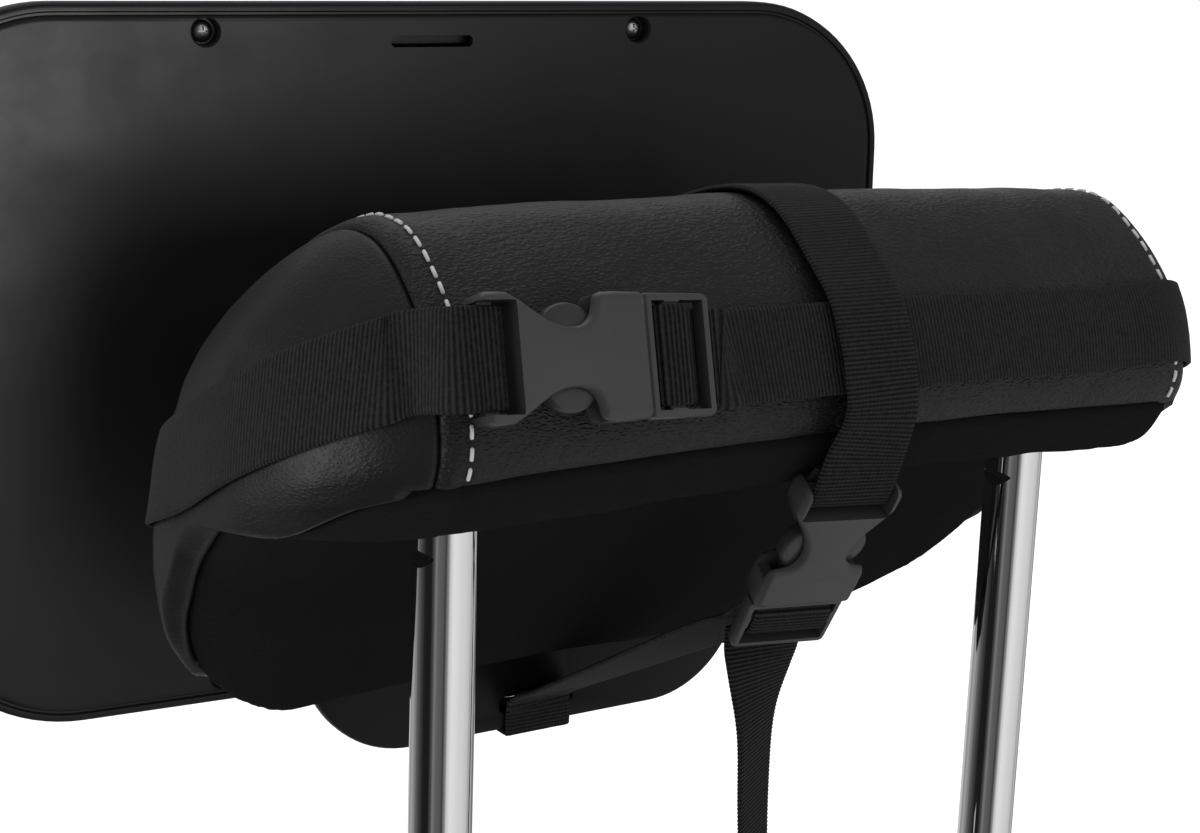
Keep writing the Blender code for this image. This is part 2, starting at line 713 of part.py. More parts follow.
def top_strap(tree):
    """From the base plate's upper bar over the crest and down the back to the lower socket."""
    place = lower_buckle_frame()
    axes = place.to_3x3()
    along, across, out = (Vector(axes.col[i]) for i in range(3))
    sewn = wrap(place.translation / MM, along, out, SOCKET_BAR, BAR_HALF_HEIGHT, 9.0, 5.0)
    rests = []
    for degrees in range(8, 144, 8):
        angle = math.radians(degrees)
        slide = MOUNT_X * max(0.0, (degrees - 75) / 75)
        behind = min(1.0, max(0.0, (80 - degrees) / 30))
        lift = WEB_LIFT + (CROSSING_LIFT - WEB_LIFT) * behind
        origin = Vector((slide, 20, PAD_LEVEL + 14))
        outward = Vector((0, -math.cos(angle), math.sin(angle)))
        rests.append(cast(tree, origin, outward, Vector((1, 0, 0)), lift))
    over, over_turns = laid(rests, (1, 0, 0))
    down = Vector((0, 0, -1))
    edge = plate_bar(down, BASE_TOP, MOUNT_X)
    loop = wrap(edge, down, Vector((0, -1, 0)), (1.0, 1.0 + BASE_BAR), BASE_THICKNESS / 2, 3.0, 2.5, 3.6)
    x_axis = Vector((1, 0, 0))
    path = sewn[::-1] + over + loop
    turns = widths_between(sewn, across, across) + over_turns
    turns += widths_between(loop, x_axis, x_axis)
    ribbon("strap_top", path, turns, webbing())


def bottom_strap():
    """From the lower plug forward under the pad to the base plate's lower bar, and the hanging tail."""
    place = lower_buckle_frame()
    axes = place.to_3x3()
    along, across, out = (Vector(axes.col[i]) for i in range(3))
    threaded = in_buckle(place, adjuster_steps([(55.0, -9.9), (48.0, -6.5), (41.6, -3.2)], 55.0))
    down = Vector((0, 0, -1))
    x_axis = Vector((1, 0, 0))
    edge = plate_bar(down, BASE_BOTTOM + BASE_BAR, MOUNT_X)
    loop = wrap(edge, down, Vector((0, -1, 0)), (1.0, 1.0 + BASE_BAR), BASE_THICKNESS / 2, 3.5, 2.0, 3.6)
    start = threaded[0]
    run = [start.lerp(loop[0], t) for t in (0.15, 0.3, 0.45, 0.6, 0.75, 0.88)]
    path = threaded[::-1] + run + loop
    leaning = Vector((math.cos(STRAP_LEAN), 0, -math.sin(STRAP_LEAN)))
    turns = widths_between(threaded, across, across) + widths_between(run, leaning, x_axis)
    turns += widths_between(loop, x_axis, x_axis)
    ribbon("strap_bottom", path, turns, webbing())
    tail_strap(threaded[-1], across)


def tail_strap(top, across):
    """The free end of the webbing, which hangs and turns a little on its way down."""
    pivot = top + Vector((0, 1.2, -2.5))
    drop = 82.0
    path = []
    turns = []
    steps = 12
    for i in range(steps + 1):
        t = i / steps
        path.append(Vector((1.5 * t, 2.5 * math.sin(math.pi * t) - 3.2 * t, -drop * t)))
        turn = math.radians(-9 + 36 * min(1.0, 5 * t) + 12 * t)
        turns.append(Vector((math.cos(turn), math.sin(turn), 0)))
    tail = ribbon("strap_tail", path, turns, webbing())
    tail.location = pivot * MM


# ---------------------------------------------------------------- base plate and ball mount

def base_plate():
    """A rounded plate with a strap slot in each side and a neck that ends in a cup for the ball."""
    half_height = (BASE_TOP - BASE_BOTTOM) / 2
    middle = (BASE_TOP + BASE_BOTTOM) / 2
    front = PLATE_REAR_Y + BASE_THICKNESS
    outline = rounded_outline(BASE_HALF_WIDTH, half_height, BASE_CORNER, 6)
    plate = slab("base_plate", outline, (PLATE_REAR_Y, front), black_plastic(), None, (MOUNT_X, middle))
    neck_start = front - 1 - BALL_Y
    neck = turned("neck", [(neck_start, 17.0), (neck_start + 3, 15.0), (neck_start + 6, 10.0), (-12.5, 10.0),
                           (-9.0, CUP_RADIUS), (4.0, CUP_RADIUS)],
                  (MOUNT_X, BALL_Y, MOUNT_LEVEL), (0, 1, 0), None)
    boolean(plate, neck, "UNION")
    cavity_radius = BALL_RADIUS + GAP
    cavity = []
    for degrees in range(178, 65, -14):
        angle = math.radians(degrees)
        cavity.append((cavity_radius * math.cos(angle), cavity_radius * math.sin(angle)))
    cavity.append((6.0, cavity[-1][1]))
    boolean(plate, turned("ball_room", cavity, (MOUNT_X, BALL_Y, MOUNT_LEVEL), (0, 1, 0), None), "DIFFERENCE")
    reach = SLOT_HALF_WIDTH + 0.5
    inner = BASE_BAR + BASE_SLOT
    low_y, high_y = PLATE_REAR_Y - 2, front + 2
    boxes = []
    for side in (-1, 1):
        near, far = sorted((MOUNT_X + side * (BASE_HALF_WIDTH - BASE_BAR), MOUNT_X + side * (BASE_HALF_WIDTH - inner)))
        boxes.append(((near, low_y, SIDE_SLOT_LEVEL - reach), (far, high_y, SIDE_SLOT_LEVEL + reach)))
    left, right = MOUNT_X - reach, MOUNT_X + reach
    boxes.append(((left, low_y, BASE_BOTTOM + BASE_BAR), (right, high_y, BASE_BOTTOM + inner)))
    boxes.append(((left, low_y, BASE_TOP - inner), (right, high_y, BASE_TOP - BASE_BAR)))
    for i, (low, high) in enumerate(boxes):
        boolean(plate, box(f"strap_slot_{i}", low, high), "DIFFERENCE")


def lock_collar():
    """A ribbed ring round the cup, which squeezes it on the ball when it is turned."""
    inner = CUP_RADIUS + GAP
    lip = 9.6
    profile = [(-8.5, inner), (4.3, inner), (4.3, lip), (6.6, lip + 1.2), (6.6, COLLAR_RADIUS - 1.4),
               (5.4, COLLAR_RADIUS), (-7.5, COLLAR_RADIUS), (-8.5, COLLAR_RADIUS - 1)]
    tube("lock_collar", profile, (MOUNT_X, BALL_Y, MOUNT_LEVEL), (0, 1, 0), black_plastic(), 40)


def panel_frame():
    """The mirror panel's matrix: the ball lies on its centre line, behind its back face."""
    turn = Euler(PANEL_ANGLES, "XYZ").to_matrix().to_4x4()
    centre = Vector((MOUNT_X, BALL_Y, MOUNT_LEVEL)) + turn.to_3x3() @ Vector((0, PANEL_DISTANCE, 0))
    turn.translation = centre * MM
    return turn


def ball_and_stem():
    """The ball, and the stem that stands on it along the panel's centre line."""
    place = panel_frame()
    ball = (0, -PANEL_DISTANCE, 0)
    steps = 10
    profile = [(-BALL_RADIUS * math.cos(math.pi * i / steps), max(0.4, BALL_RADIUS * math.sin(math.pi * i / steps)))
               for i in range(steps + 1)]
    turned("pivot_ball", profile, ball, (0, 1, 0), black_plastic(), 24, place, 60)
    start = BALL_RADIUS + GAP
    end = PANEL_DISTANCE - 4.0 - GAP
    stem = [(start, STEM_RADIUS), (end - 4, STEM_RADIUS), (end - 1.5, STEM_RADIUS + 2), (end, STEM_RADIUS + 2)]
    turned("pivot_stem", stem, ball, (0, 1, 0), black_plastic(), 28, place)
    flange_back = PANEL_DISTANCE - 4.0
    flange_front = PANEL_DISTANCE - GAP
    flange = turned("mounting_flange", [(flange_back, 17.0), (flange_back + 0.8, 18.0), (flange_front, 18.0)],
                    ball, (0, 1, 0), black_plastic(), 36, place)
    for i in range(3):
        angle = math.radians(90 + 120 * i)
        spot = (12.5 * math.cos(angle), -4.0, 12.5 * math.sin(angle))
        hole = turned(f"flange_hole_{i}", [(-1, 1.9), (9, 1.9)], spot, (0, 1, 0), None, 12, place)
        boolean(flange, hole, "DIFFERENCE")
        screw(f"flange_screw_{i + 1}", (spot[0], spot[1] - GAP, spot[2]), 5.6, place)


def screw(name, seat, shank_length, place):
    """A pan-head cross-recess screw. seat is the point where its head meets the surface."""
    profile = [(-2.0, 1.6), (-1.7, 2.5), (-1.0, 3.0), (0, 3.0), (0, 1.4), (shank_length, 1.4)]
    body = turned(name, profile, seat, (0, 1, 0), steel(), 12, place)
    x, y, z = seat
    for label, (half_x, half_z) in {"across": (1.6, 0.35), "up": (0.35, 1.6)}.items():
        cutter = box(f"{name}_{label}", (x - half_x, y - 3, z - half_z), (x + half_x, y - 1.1, z + half_z), None, place)
        boolean(body, cutter, "DIFFERENCE")


# ---------------------------------------------------------------- mirror panel

def screw_spots():
    return [(x * SCREW_X, z * SCREW_Z) for x, z in ((-1, 1), (1, 1), (1, -1), (-1, -1))]


def panel_outline(inset):
    return rounded_outline(PANEL_WIDTH / 2 - inset, PANEL_HEIGHT / 2 - inset, PANEL_CORNER - inset, 7)


def mirror_back_shell(place):
    """A shallow tray with a stepped rim, four screw wells and a slot near its top edge."""
    levels = [(0.6, 3.1), (0.0, 3.9)]
    rings = [[(x, SHELL_DEPTH, z) for x, z in panel_outline(0.0)]]
    rings.append([(x, 2.6, z) for x, z in panel_outline(0.0)])
    rings.append([(x, 1.2, z) for x, z in panel_outline(0.8)])
    rings.append([(x, 1.2, z) for x, z in panel_outline(2.4)])
    for y, inset in levels:
        rings.append([(x, y, z) for x, z in panel_outline(inset)])
    points, faces = skin(rings)
    tray = make("mirror_back_shell", points, faces, black_plastic(), 30, place)
    room = slab("tray_room", panel_outline(SHELL_WALL + 1.8), (SHELL_WALL + 0.2, SHELL_DEPTH + 1), None, place)
    boolean(tray, room, "DIFFERENCE")
    for i, (x, z) in enumerate(screw_spots()):
        well = turned(f"well_{i}", [(SHELL_WALL, 6.0), (SHELL_DEPTH - 0.6, 6.0)], (x, 0, z), (0, 1, 0), None, 20, place)
        boolean(tray, well, "UNION")
        bore = turned(f"well_bore_{i}", [(-1, 3.6), (5.2, 3.6)], (x, 0, z), (0, 1, 0), None, 20, place)
        boolean(tray, bore, "DIFFERENCE")
        hole = turned(f"well_hole_{i}", [(4, 1.8), (SHELL_DEPTH + 1, 1.8)], (x, 0, z), (0, 1, 0), None, 12, place)
        boolean(tray, hole, "DIFFERENCE")
        screw(f"housing_screw_{i + 1}", (x, 5.2 - GAP, z), 6.4, place)
    slot = slab("shell_slot", rounded_outline(12.0, 1.5, 1.4, 3), (-1, SHELL_WALL + 1), None, place, (0, SLOT_Z))
    boolean(tray, slot, "DIFFERENCE")
    for i in range(3):
        angle = math.radians(90 + 120 * i)
        pilot = turned(f"pilot_{i}", [(-1, 1.7), (SHELL_WALL + 1, 1.7)],
                       (12.5 * math.cos(angle), 0, 12.5 * math.sin(angle)), (0, 1, 0), None, 12, place)
        boolean(tray, pilot, "DIFFERENCE")


def mirror_front(place):
    """The bezel with its screw bosses, the mirror sheet it holds, and the foam behind the sheet."""
    back = SHELL_DEPTH + GAP
    front = back + BEZEL_DEPTH
    bezel = slab("mirror_bezel", panel_outline(0.4), (back, front), black_plastic(), place)
    seat = slab("bezel_seat", panel_outline(BEZEL_BORDER - SHEET_LAP), (back - 1, front - 1.5), None, place)
    window = slab("bezel_window", panel_outline(BEZEL_BORDER), (back, front + 1), None, place)
    boolean(bezel, seat, "DIFFERENCE")
    boolean(bezel, window, "DIFFERENCE")
    for i, (x, z) in enumerate(screw_spots()):
        pilot = turned(f"bezel_pilot_{i}", [(back - 1, 1.7), (front - 1.0, 1.7)], (x, 0, z), (0, 1, 0), None, 12, place)
        boolean(bezel, pilot, "DIFFERENCE")
    sheet_front = front - 1.5 - GAP
    sheet = panel_outline(BEZEL_BORDER - SHEET_LAP + GAP)
    slab("mirror_sheet", sheet, (sheet_front - 1.6, sheet_front), mirror_coat(), place)
    lining = panel_outline(BEZEL_BORDER + 6)
    slab("mirror_backing", lining, (SHELL_WALL + 1.0, SHELL_DEPTH - GAP), foam(), place)


def build():
    clear_scene()
    grid = pad_grid()
    pad_covers(grid)
    pad_core(grid)
    posts()
    tree = grid[2]
    horizontal_straps(tree)
    top_strap(tree)
    bottom_strap()
    buckle("upper", upper_buckle_frame(), ("low", "high"))
    buckle("lower", lower_buckle_frame(), ("left", "right"))
    base_plate()
    lock_collar()
    ball_and_stem()
    place = panel_frame()
    mirror_back_shell(place)
    mirror_front(place)


build()
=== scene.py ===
"""A car headrest with a strap-on back-seat mirror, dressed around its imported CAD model.

Lengths in this file are millimetres and metres are reached through MM, unless a name says otherwise.
"""
import json
import math

import bmesh
import bpy
import numpy as np
from mathutils import Matrix, Vector, noise
from mathutils.bvhtree import BVHTree

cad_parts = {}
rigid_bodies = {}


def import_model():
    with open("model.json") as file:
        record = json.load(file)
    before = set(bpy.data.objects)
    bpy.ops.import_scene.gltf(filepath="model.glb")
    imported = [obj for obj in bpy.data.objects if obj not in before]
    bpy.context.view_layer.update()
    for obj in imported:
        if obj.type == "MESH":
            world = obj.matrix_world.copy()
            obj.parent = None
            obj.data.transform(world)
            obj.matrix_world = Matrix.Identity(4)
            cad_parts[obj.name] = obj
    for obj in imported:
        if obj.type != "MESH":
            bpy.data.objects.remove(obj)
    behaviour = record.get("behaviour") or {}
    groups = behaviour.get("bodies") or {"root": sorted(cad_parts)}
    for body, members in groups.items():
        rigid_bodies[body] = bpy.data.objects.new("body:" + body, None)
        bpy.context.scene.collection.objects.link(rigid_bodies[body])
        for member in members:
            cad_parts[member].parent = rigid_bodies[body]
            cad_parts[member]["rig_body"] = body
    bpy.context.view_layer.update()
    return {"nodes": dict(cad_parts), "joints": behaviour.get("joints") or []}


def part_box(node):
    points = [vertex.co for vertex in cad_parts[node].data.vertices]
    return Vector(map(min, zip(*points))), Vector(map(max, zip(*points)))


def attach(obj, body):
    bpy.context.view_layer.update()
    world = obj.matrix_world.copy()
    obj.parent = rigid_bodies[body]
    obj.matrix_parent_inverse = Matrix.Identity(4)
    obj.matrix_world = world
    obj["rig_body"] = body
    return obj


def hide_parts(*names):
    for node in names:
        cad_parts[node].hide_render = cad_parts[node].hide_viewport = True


MM = 0.001
GAP = 0.3

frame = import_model()
joints = {joint["name"]: joint for joint in frame["joints"]}

# ---------------------------------------------------------------- dimensions

# Pad: its section is taken from the middle and drawn in towards each end
PAD_HALF_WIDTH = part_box("cover_right")[1].x / MM
PAD_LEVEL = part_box("cover_centre")[1].z / MM - 65.0
SEAM_START = 97.0
PAD_ARCH = 2.0
PAD_CROWN = 5.0
END_SCALE = 0.3
END_CENTRE = np.array((35.5, -2.0))
LOWER_START = -5.0
LOWER_CORNER = {-1: 7.5, 1: 35.0}
LOWER_END_SCALE = {-1: 0.31, 1: 0.18}
LEATHER_SECTION = [
    (-33.8, 16), (-36.2, 25), (-33.5, 39), (-26, 51), (-14.5, 61), (-3, 65), (12, 63.5),
    (29, 57), (44, 46), (56.5, 31), (66.5, 11), (72.5, -12), (74.5, -32), (72.5, -47), (68.5, -57),
]
FELT_SECTION = [
    (68.5, -57), (63.5, -61), (57, -54), (48, -40), (36.5, -25), (24.5, -12.5), (14, -4), (2, 0), (-12, 1),
    (-25, 4.5), (-33.8, 16),
]
FELT_CORNER = (17.0, 30.0)
STITCH_X = 97.0
PANEL_SEAM_X = 102.5
RIM_X = 122.5
LEATHER_THICKNESS = 1.5
CORE_DEPTH = 5.0
CORE_HALF_WIDTH = 108.0
HEM_RADIUS = 2.6
STITCH_PITCH = 4.2
STITCH_LENGTH = 3.1
STITCH_STEP = 0.25
THREAD_RADIUS = 0.42

# Webbing
WEB_WIDTH = 20.0
WEB_THICKNESS = 1.2
RIB_PITCH = 1.0
YARN_PITCH = 1.05
RIB_SAMPLES = 4
RIB_HEIGHT = 0.085
WEB_REST = 0.25
WEB_TWIST = 1.5
WEB_LANES = np.array([-9.0, -6.0, -3.0, 0.0, 3.0, 6.0, 9.0])
WEB_COLUMNS = np.array([-10.0, -9.65, -8.6, -6.0, -3.0, 0.0, 3.0, 6.0, 8.6, 9.65, 10.0])
WEB_SWELL = np.array([0.0, 0.5, 0.62, 0.58, 0.58, 0.58, 0.58, 0.58, 0.62, 0.5, 0.0])
RAY_LEAD = 3.0
RAY_REACH = 15.0
RAY_NEAR = 9.0
TAIL_LEAD = 6.0
RIGHT_STRAP_SAG = 2.8
EASE = 9.0

# Buckles, in each buckle's own x (along), y (across) and z (out)
BUCKLE_LENGTH = 52.0
BUCKLE_HALF = 12.5
SOCKET_LENGTH = 36.5
PRONG_HINGE = (36.0, 5.2)
SLOT_HALF = 10.8
HOLD_START = -3.0
HOLD_END = 56.0
HOLD_HALF = 14.0

# Posts
NOTCH_BELOW_PAD = 6.6
NOTCH_HEIGHT = 5.2
NOTCH_DEPTH = 1.7
NOTCH_LEDGE = 1.1

# Base plate and ball mount
BASE_THICKNESS = 5.0
BASE_CORNER = 30.0
BASE_BAR = 5.0
BASE_SLOT = 4.0
SIDE_SLOT_BELOW_PAD = 20.0
BALL_RADIUS = 10.0
NECK_RADIUS = 17.5
NECK_TAPER = 7.5
NECK_LENGTH = 7.0
CUP_RADIUS = 13.0
COLLAR_RIBS = 36
STEM_RADIUS = 5.0
FLANGE_RADIUS = 18.0
FLANGE_SCREW_RING = 12.5

# Mirror panel, in its own x (right), y (forward from its back face) and z (up)
PANEL_SIZE = (294.0, 195.0)
PANEL_CORNER = 44.5
SHELL_DEPTH = 9.0
SHELL_WALL = 2.2
BEZEL_DEPTH = 4.0
BEZEL_BORDER = 14.0
SHEET_LAP = 2.5
SHEET_THICKNESS = 1.6
SCREW_X = 63.3
SCREW_Z = 89.8
SLOT_Z = 86.9
HOUSING_SCREW_MIDDLE = 7.1
SCREW_LENGTHS = {"housing": 6.4, "flange": 5.6}
SCREW_RADIUS = 1.4
PILOT_RADIUS = 1.7
SCREW_HEAD_RADIUS = 3.0

# Camera
CAMERA_AZIMUTH = -33.631
CAMERA_ELEVATION = 12.091
CAMERA_ROLL = 1.99
CAMERA_DISTANCE = 0.5
CAMERA_AIM = (-0.0133, 0.0465, 0.17575)
CAMERA_LENS = 61.04

# Light. SOFT_BOXES: (degrees round from +X, brightness) of what shiny surfaces reflect near the horizon
ROOM_LIGHT = 1.0
OVERHEAD = 0.34
FLOOR_GLOW = 0.22
FLOOR_SIZE = 40.0
TOP_LIGHT_POWER = 3.0
LEFT_LIGHT_POWER = 4.0
LEFT_LIT = ["leather_end_left", "leather_centre", "felt_underside", "webbing_left", "webbing_bottom"]
PANEL_LIGHT_POWER = 3.6
PANEL_LIGHT_SIZE = (0.22, 0.22)
PANEL_LIGHT_DISTANCE = 0.55
SOFT_BOXES = [
    (-180, 0.012), (-166, 0.012), (-157, 0.06), (-148, 0.19), (-138, 0.12), (-124, 0.1), (-115, 0.055),
    (-107, 0.22), (-97, 0.68), (-86, 0.82), (-45, 0.7), (-20, 0.6), (-8, 0.4), (8, 0.5), (20, 0.25),
    (30, 0.1), (45, 0.6), (85, 0.6), (98, 0.3), (115, 0.38), (130, 0.24), (145, 0.1), (160, 0.045),
    (172, 0.015), (180, 0.012),
]


# ---------------------------------------------------------------- node helpers

def feed(node, **values):
    """Sets a node's sockets by name, or links them where the value is another node's output."""
    for name, value in values.items():
        socket = node.inputs[name.replace("_", " ")]
        if isinstance(value, bpy.types.NodeSocket):
            node.id_data.links.new(value, socket)
        else:
            socket.default_value = value


def new_material(name, colour, roughness, metallic=0.0, **values):
    mat = bpy.data.materials.new(name)
    mat.use_nodes = True
    shader = mat.node_tree.nodes["Principled BSDF"]
    feed(shader, Base_Color=(*colour, 1.0), Roughness=roughness, Metallic=metallic, **values)
    return mat, mat.node_tree, shader


def add_node(tree, kind, **values):
    """A new node; words with a capital start are its sockets, as feed takes them, the rest its settings."""
    node = tree.nodes.new(kind)
    for key, value in values.items():
        if key[0].isupper():
            feed(node, **{key: value})
        else:
            setattr(node, key, value)
    return node


def position(tree, scale=(1.0, 1.0, 1.0)):
    """Object coordinates, in metres, stretched by scale."""
    coordinates = add_node(tree, "ShaderNodeTexCoord")
    mapping = add_node(tree, "ShaderNodeMapping", Vector=coordinates.outputs["Object"], Scale=scale)
    return mapping.outputs["Vector"]


def noise_field(tree, vector, scale, detail=3.0, roughness=0.5):
    node = add_node(tree, "ShaderNodeTexNoise", Vector=vector, Scale=scale, Detail=detail,
                    Roughness=roughness)
    return node.outputs["Fac"]


def remap(tree, value, low, high, out_low, out_high):
    node = add_node(tree, "ShaderNodeMapRange", Value=value, From_Min=low, From_Max=high, To_Min=out_low,
                    To_Max=out_high)
    return node.outputs["Result"]


def maths(tree, operation, first, second):
    node = add_node(tree, "ShaderNodeMath", operation=operation)
    for socket, value in zip(node.inputs, (first, second)):
        if isinstance(value, (int, float)):
            socket.default_value = value
        else:
            tree.links.new(value, socket)
    return node.outputs["Value"]


def wave(tree, value, pitch):
    """A sine of value, which is in metres, that repeats every pitch millimetres."""
    return maths(tree, "SINE", maths(tree, "MULTIPLY", value, 2 * math.pi / (pitch * MM)), 0.0)


def bump(tree, shader, height, distance, strength=1.0):
    """Adds a bump on top of any bump that the shader already has."""
    node = add_node(tree, "ShaderNodeBump", Height=height, Strength=strength, Distance=distance)
    if shader.inputs["Normal"].is_linked:
        feed(node, Normal=shader.inputs["Normal"].links[0].from_socket)
    feed(shader, Normal=node.outputs["Normal"])


def tint(tree, shader, fac, dark, light):
    """Lets the base colour wander between two colours."""
    ramp = add_node(tree, "ShaderNodeValToRGB", Fac=fac)
    ramp.color_ramp.elements[0].color = (*dark, 1.0)
    ramp.color_ramp.elements[1].color = (*light, 1.0)
    feed(shader, Base_Color=ramp.outputs["Color"])


# ---------------------------------------------------------------- materials

def leather(name, grain):
    """Black leather; grain from 0 to 1 says how strongly the pebbles stand out."""
    mat, tree, shader = new_material(name, (0.008, 0.008, 0.0085), 0.5, Specular_IOR_Level=0.24,
                                     Coat_Weight=0.03, Coat_Roughness=0.32)
    place = position(tree)
    warp = add_node(tree, "ShaderNodeTexNoise", Vector=place, Scale=420.0, Detail=2.0)
    push = add_node(tree, "ShaderNodeVectorMath", operation="MULTIPLY_ADD")
    push.inputs[1].default_value = (0.0016, 0.0016, 0.0016)
    tree.links.new(warp.outputs["Color"], push.inputs[0])
    tree.links.new(position(tree, (0.6, 1.0, 1.5)), push.inputs[2])
    cells = add_node(tree, "ShaderNodeTexVoronoi", feature="SMOOTH_F1", Vector=push.outputs["Vector"],
                     Scale=1150.0, Smoothness=0.5, Randomness=0.9)
    pebbles = remap(tree, cells.outputs["Distance"], 0.05, 0.6, 1.0, 0.0)
    creases = noise_field(tree, position(tree, (1.0, 2.6, 2.6)), 210.0, 5.0, 0.65)
    bump(tree, shader, pebbles, 0.00032 * grain, 0.8)
    bump(tree, shader, creases, 0.0006 * grain, 0.6)
    bump(tree, shader, noise_field(tree, place, 3200.0, 2.0), 0.00003, 0.5)
    tint(tree, shader, noise_field(tree, place, 30.0), (0.004, 0.004, 0.0044), (0.009, 0.009, 0.0094))
    wear = noise_field(tree, place, 55.0, 4.0, 0.6)
    feed(shader, Roughness=remap(tree, wear, 0.3, 0.7, 0.38, 0.52))
    return mat


def felt():
    mat, tree, shader = new_material("felt", (0.005, 0.005, 0.005), 0.98, Specular_IOR_Level=0.0,
                                     Sheen_Weight=0.008, Sheen_Roughness=0.5)
    fibres = noise_field(tree, position(tree, (1.0, 1.0, 2.6)), 900.0, 5.0, 0.75)
    bump(tree, shader, fibres, 0.0008, 1.0)
    bump(tree, shader, noise_field(tree, position(tree), 160.0, 3.0, 0.6), 0.0007, 0.6)
    tint(tree, shader, fibres, (0.0042, 0.0042, 0.0042), (0.0125, 0.0125, 0.0125))
    return mat


def webbing():
    """Woven tape, its colour darkened by painted shade in the grooves between its ribs. Its UV map holds
    metres across and along the tape.
    """
    mat, tree, shader = new_material("webbing", (0.009, 0.009, 0.0095), 0.72, Specular_IOR_Level=0.14,
                                     Sheen_Weight=0.015, Sheen_Roughness=0.4)
    coordinates = add_node(tree, "ShaderNodeTexCoord")
    split = add_node(tree, "ShaderNodeSeparateXYZ", Vector=coordinates.outputs["UV"])
    across = wave(tree, split.outputs["X"], YARN_PITCH)
    along = wave(tree, split.outputs["Y"], RIB_PITCH)
    weave = maths(tree, "ADD", maths(tree, "MULTIPLY", across, 0.35), maths(tree, "MULTIPLY", along, 0.9))
    bump(tree, shader, weave, 0.00014, 0.8)
    place = position(tree)
    bump(tree, shader, noise_field(tree, place, 3200.0, 3.0), 0.0001, 0.7)
    # Painted shade: the colour darkens in the grooves between the ribs, in step with the rib bump, mixed with
    # random tone from noise.
    rib_shade_and_tone = maths(tree, "ADD", maths(tree, "MULTIPLY", along, 0.5), noise_field(tree, place, 900.0, 3.0))
    tint(tree, shader, rib_shade_and_tone, (0.002, 0.002, 0.0022), (0.016, 0.016, 0.0165))
    return mat


def plastic(name, colour, roughness, texture, gloss=0.5):
    """Moulded plastic; texture is the height of its spark-eroded grain in metres."""
    mat, tree, shader = new_material(name, colour, roughness, Specular_IOR_Level=gloss)
    place = position(tree)
    bump(tree, shader, noise_field(tree, place, 2200.0, 3.0, 0.6), texture, 0.6)
    rubbed = noise_field(tree, place, 40.0, 4.0, 0.6)
    feed(shader, Roughness=remap(tree, rubbed, 0.3, 0.7, roughness - 0.05, roughness + 0.06))
    dark = tuple(c * 0.8 for c in colour)
    light = tuple(c * 1.2 for c in colour)
    tint(tree, shader, noise_field(tree, place, 18.0, 3.0), dark, light)
    return mat


def chrome():
    mat, tree, shader = new_material("chrome_plate", (0.86, 0.86, 0.87), 0.045, 1.0)
    bump(tree, shader, noise_field(tree, position(tree, (1.0, 1.0, 0.1)), 1500.0, 2.0), 0.00001, 0.25)
    smears = noise_field(tree, position(tree), 35.0, 3.0)
    feed(shader, Roughness=remap(tree, smears, 0.35, 0.75, 0.03, 0.08))
    return mat


def steel():
    mat, tree, shader = new_material("screw_steel", (0.55, 0.55, 0.56), 0.28, 1.0)
    bump(tree, shader, noise_field(tree, position(tree), 2500.0, 3.0), 0.00004, 0.5)
    return mat


def foam():
    mat, tree, shader = new_material("foam_block", (0.35, 0.33, 0.27), 0.9)
    bump(tree, shader, noise_field(tree, position(tree), 700.0, 4.0), 0.0006, 0.8)
    return mat


def mirror():
    mat, tree, shader = new_material("mirror_sheet", (0.88, 0.89, 0.90), 0.02, 1.0)
    smears = noise_field(tree, position(tree), 25.0, 3.0)
    feed(shader, Roughness=remap(tree, smears, 0.4, 0.8, 0.01, 0.05))
    return mat


def thread(name, colour):
    mat, tree, shader = new_material(name, colour, 0.6)
    bump(tree, shader, noise_field(tree, position(tree), 3000.0, 2.0), 0.0001, 0.8)
    return mat


# ---------------------------------------------------------------- mesh helpers

def linked(name, data):
    """A new object in the scene that holds the data."""
    thing = bpy.data.objects.new(name, data)
    bpy.context.scene.collection.objects.link(thing)
    return thing


def solid(points, faces, place, name="cutter"):
    """A closed object from points in millimetres, moved to place, with its faces outwards."""
    mesh = bpy.data.meshes.new(name)
    mesh.from_pydata([tuple(c * MM for c in point) for point in points], [], faces)
    work = bmesh.new()
    work.from_mesh(mesh)
    work.transform(place)
    bmesh.ops.recalc_face_normals(work, faces=work.faces)
    if work.calc_volume(signed=True) < 0:
        bmesh.ops.reverse_faces(work, faces=work.faces)
    work.to_mesh(mesh)
    work.free()
    return linked(name, mesh)


def shade(piece, angle):
    """Shades a piece smooth except over edges sharper than the angle."""
    piece.data.shade_smooth()
    if angle is not None:
        piece.data.set_sharp_from_angle(angle=math.radians(angle))


def add_piece(name, points, faces, mat, body, replaced=(), smooth_angle=None, place=Matrix()):
    """A closed piece that rides on a CAD body."""
    piece = solid(points, faces, place, name)
    piece.data.materials.append(mat)
    shade(piece, smooth_angle)
    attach(piece, body)
    if replaced:
        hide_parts(*replaced)
    return piece


def skin(rings, looped=False):
    """Points and faces over rings of equal length, capped at both ends or, when looped, joined up."""
    size = len(rings[0])
    count = len(rings)
    points = [tuple(p) for ring in rings for p in ring]
    faces = []
    for row in range(count if looped else count - 1):
        faces += [ring_cell(row, (row + 1) % count, i, size) for i in range(size)]
    if not looped:
        faces.append(tuple(range(size)))
        faces.append(tuple((count - 1) * size + i for i in range(size)))
    return points, faces


def ring_cell(row, below, i, size):
    """The face between two rings of a grid, from column i to the next one round."""
    j = (i + 1) % size
    return row * size + i, row * size + j, below * size + j, below * size + i


def frame_body(node):
    """The body that a CAD node belongs to."""
    return frame["nodes"][node]["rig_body"]


def stand_in(name, node, rings, mat, smooth_angle=40, place=Matrix(), looped=False):
    """A closed piece over rings that takes a CAD node's place on its body."""
    points, faces = skin(rings, looped)
    return add_piece(name, points, faces, mat, frame_body(node), [node], smooth_angle, place)


def modify(piece, kind, **settings):
    modifier = piece.modifiers.new(kind.lower(), kind)
    for key, value in settings.items():
        setattr(modifier, key, value)
    return modifier


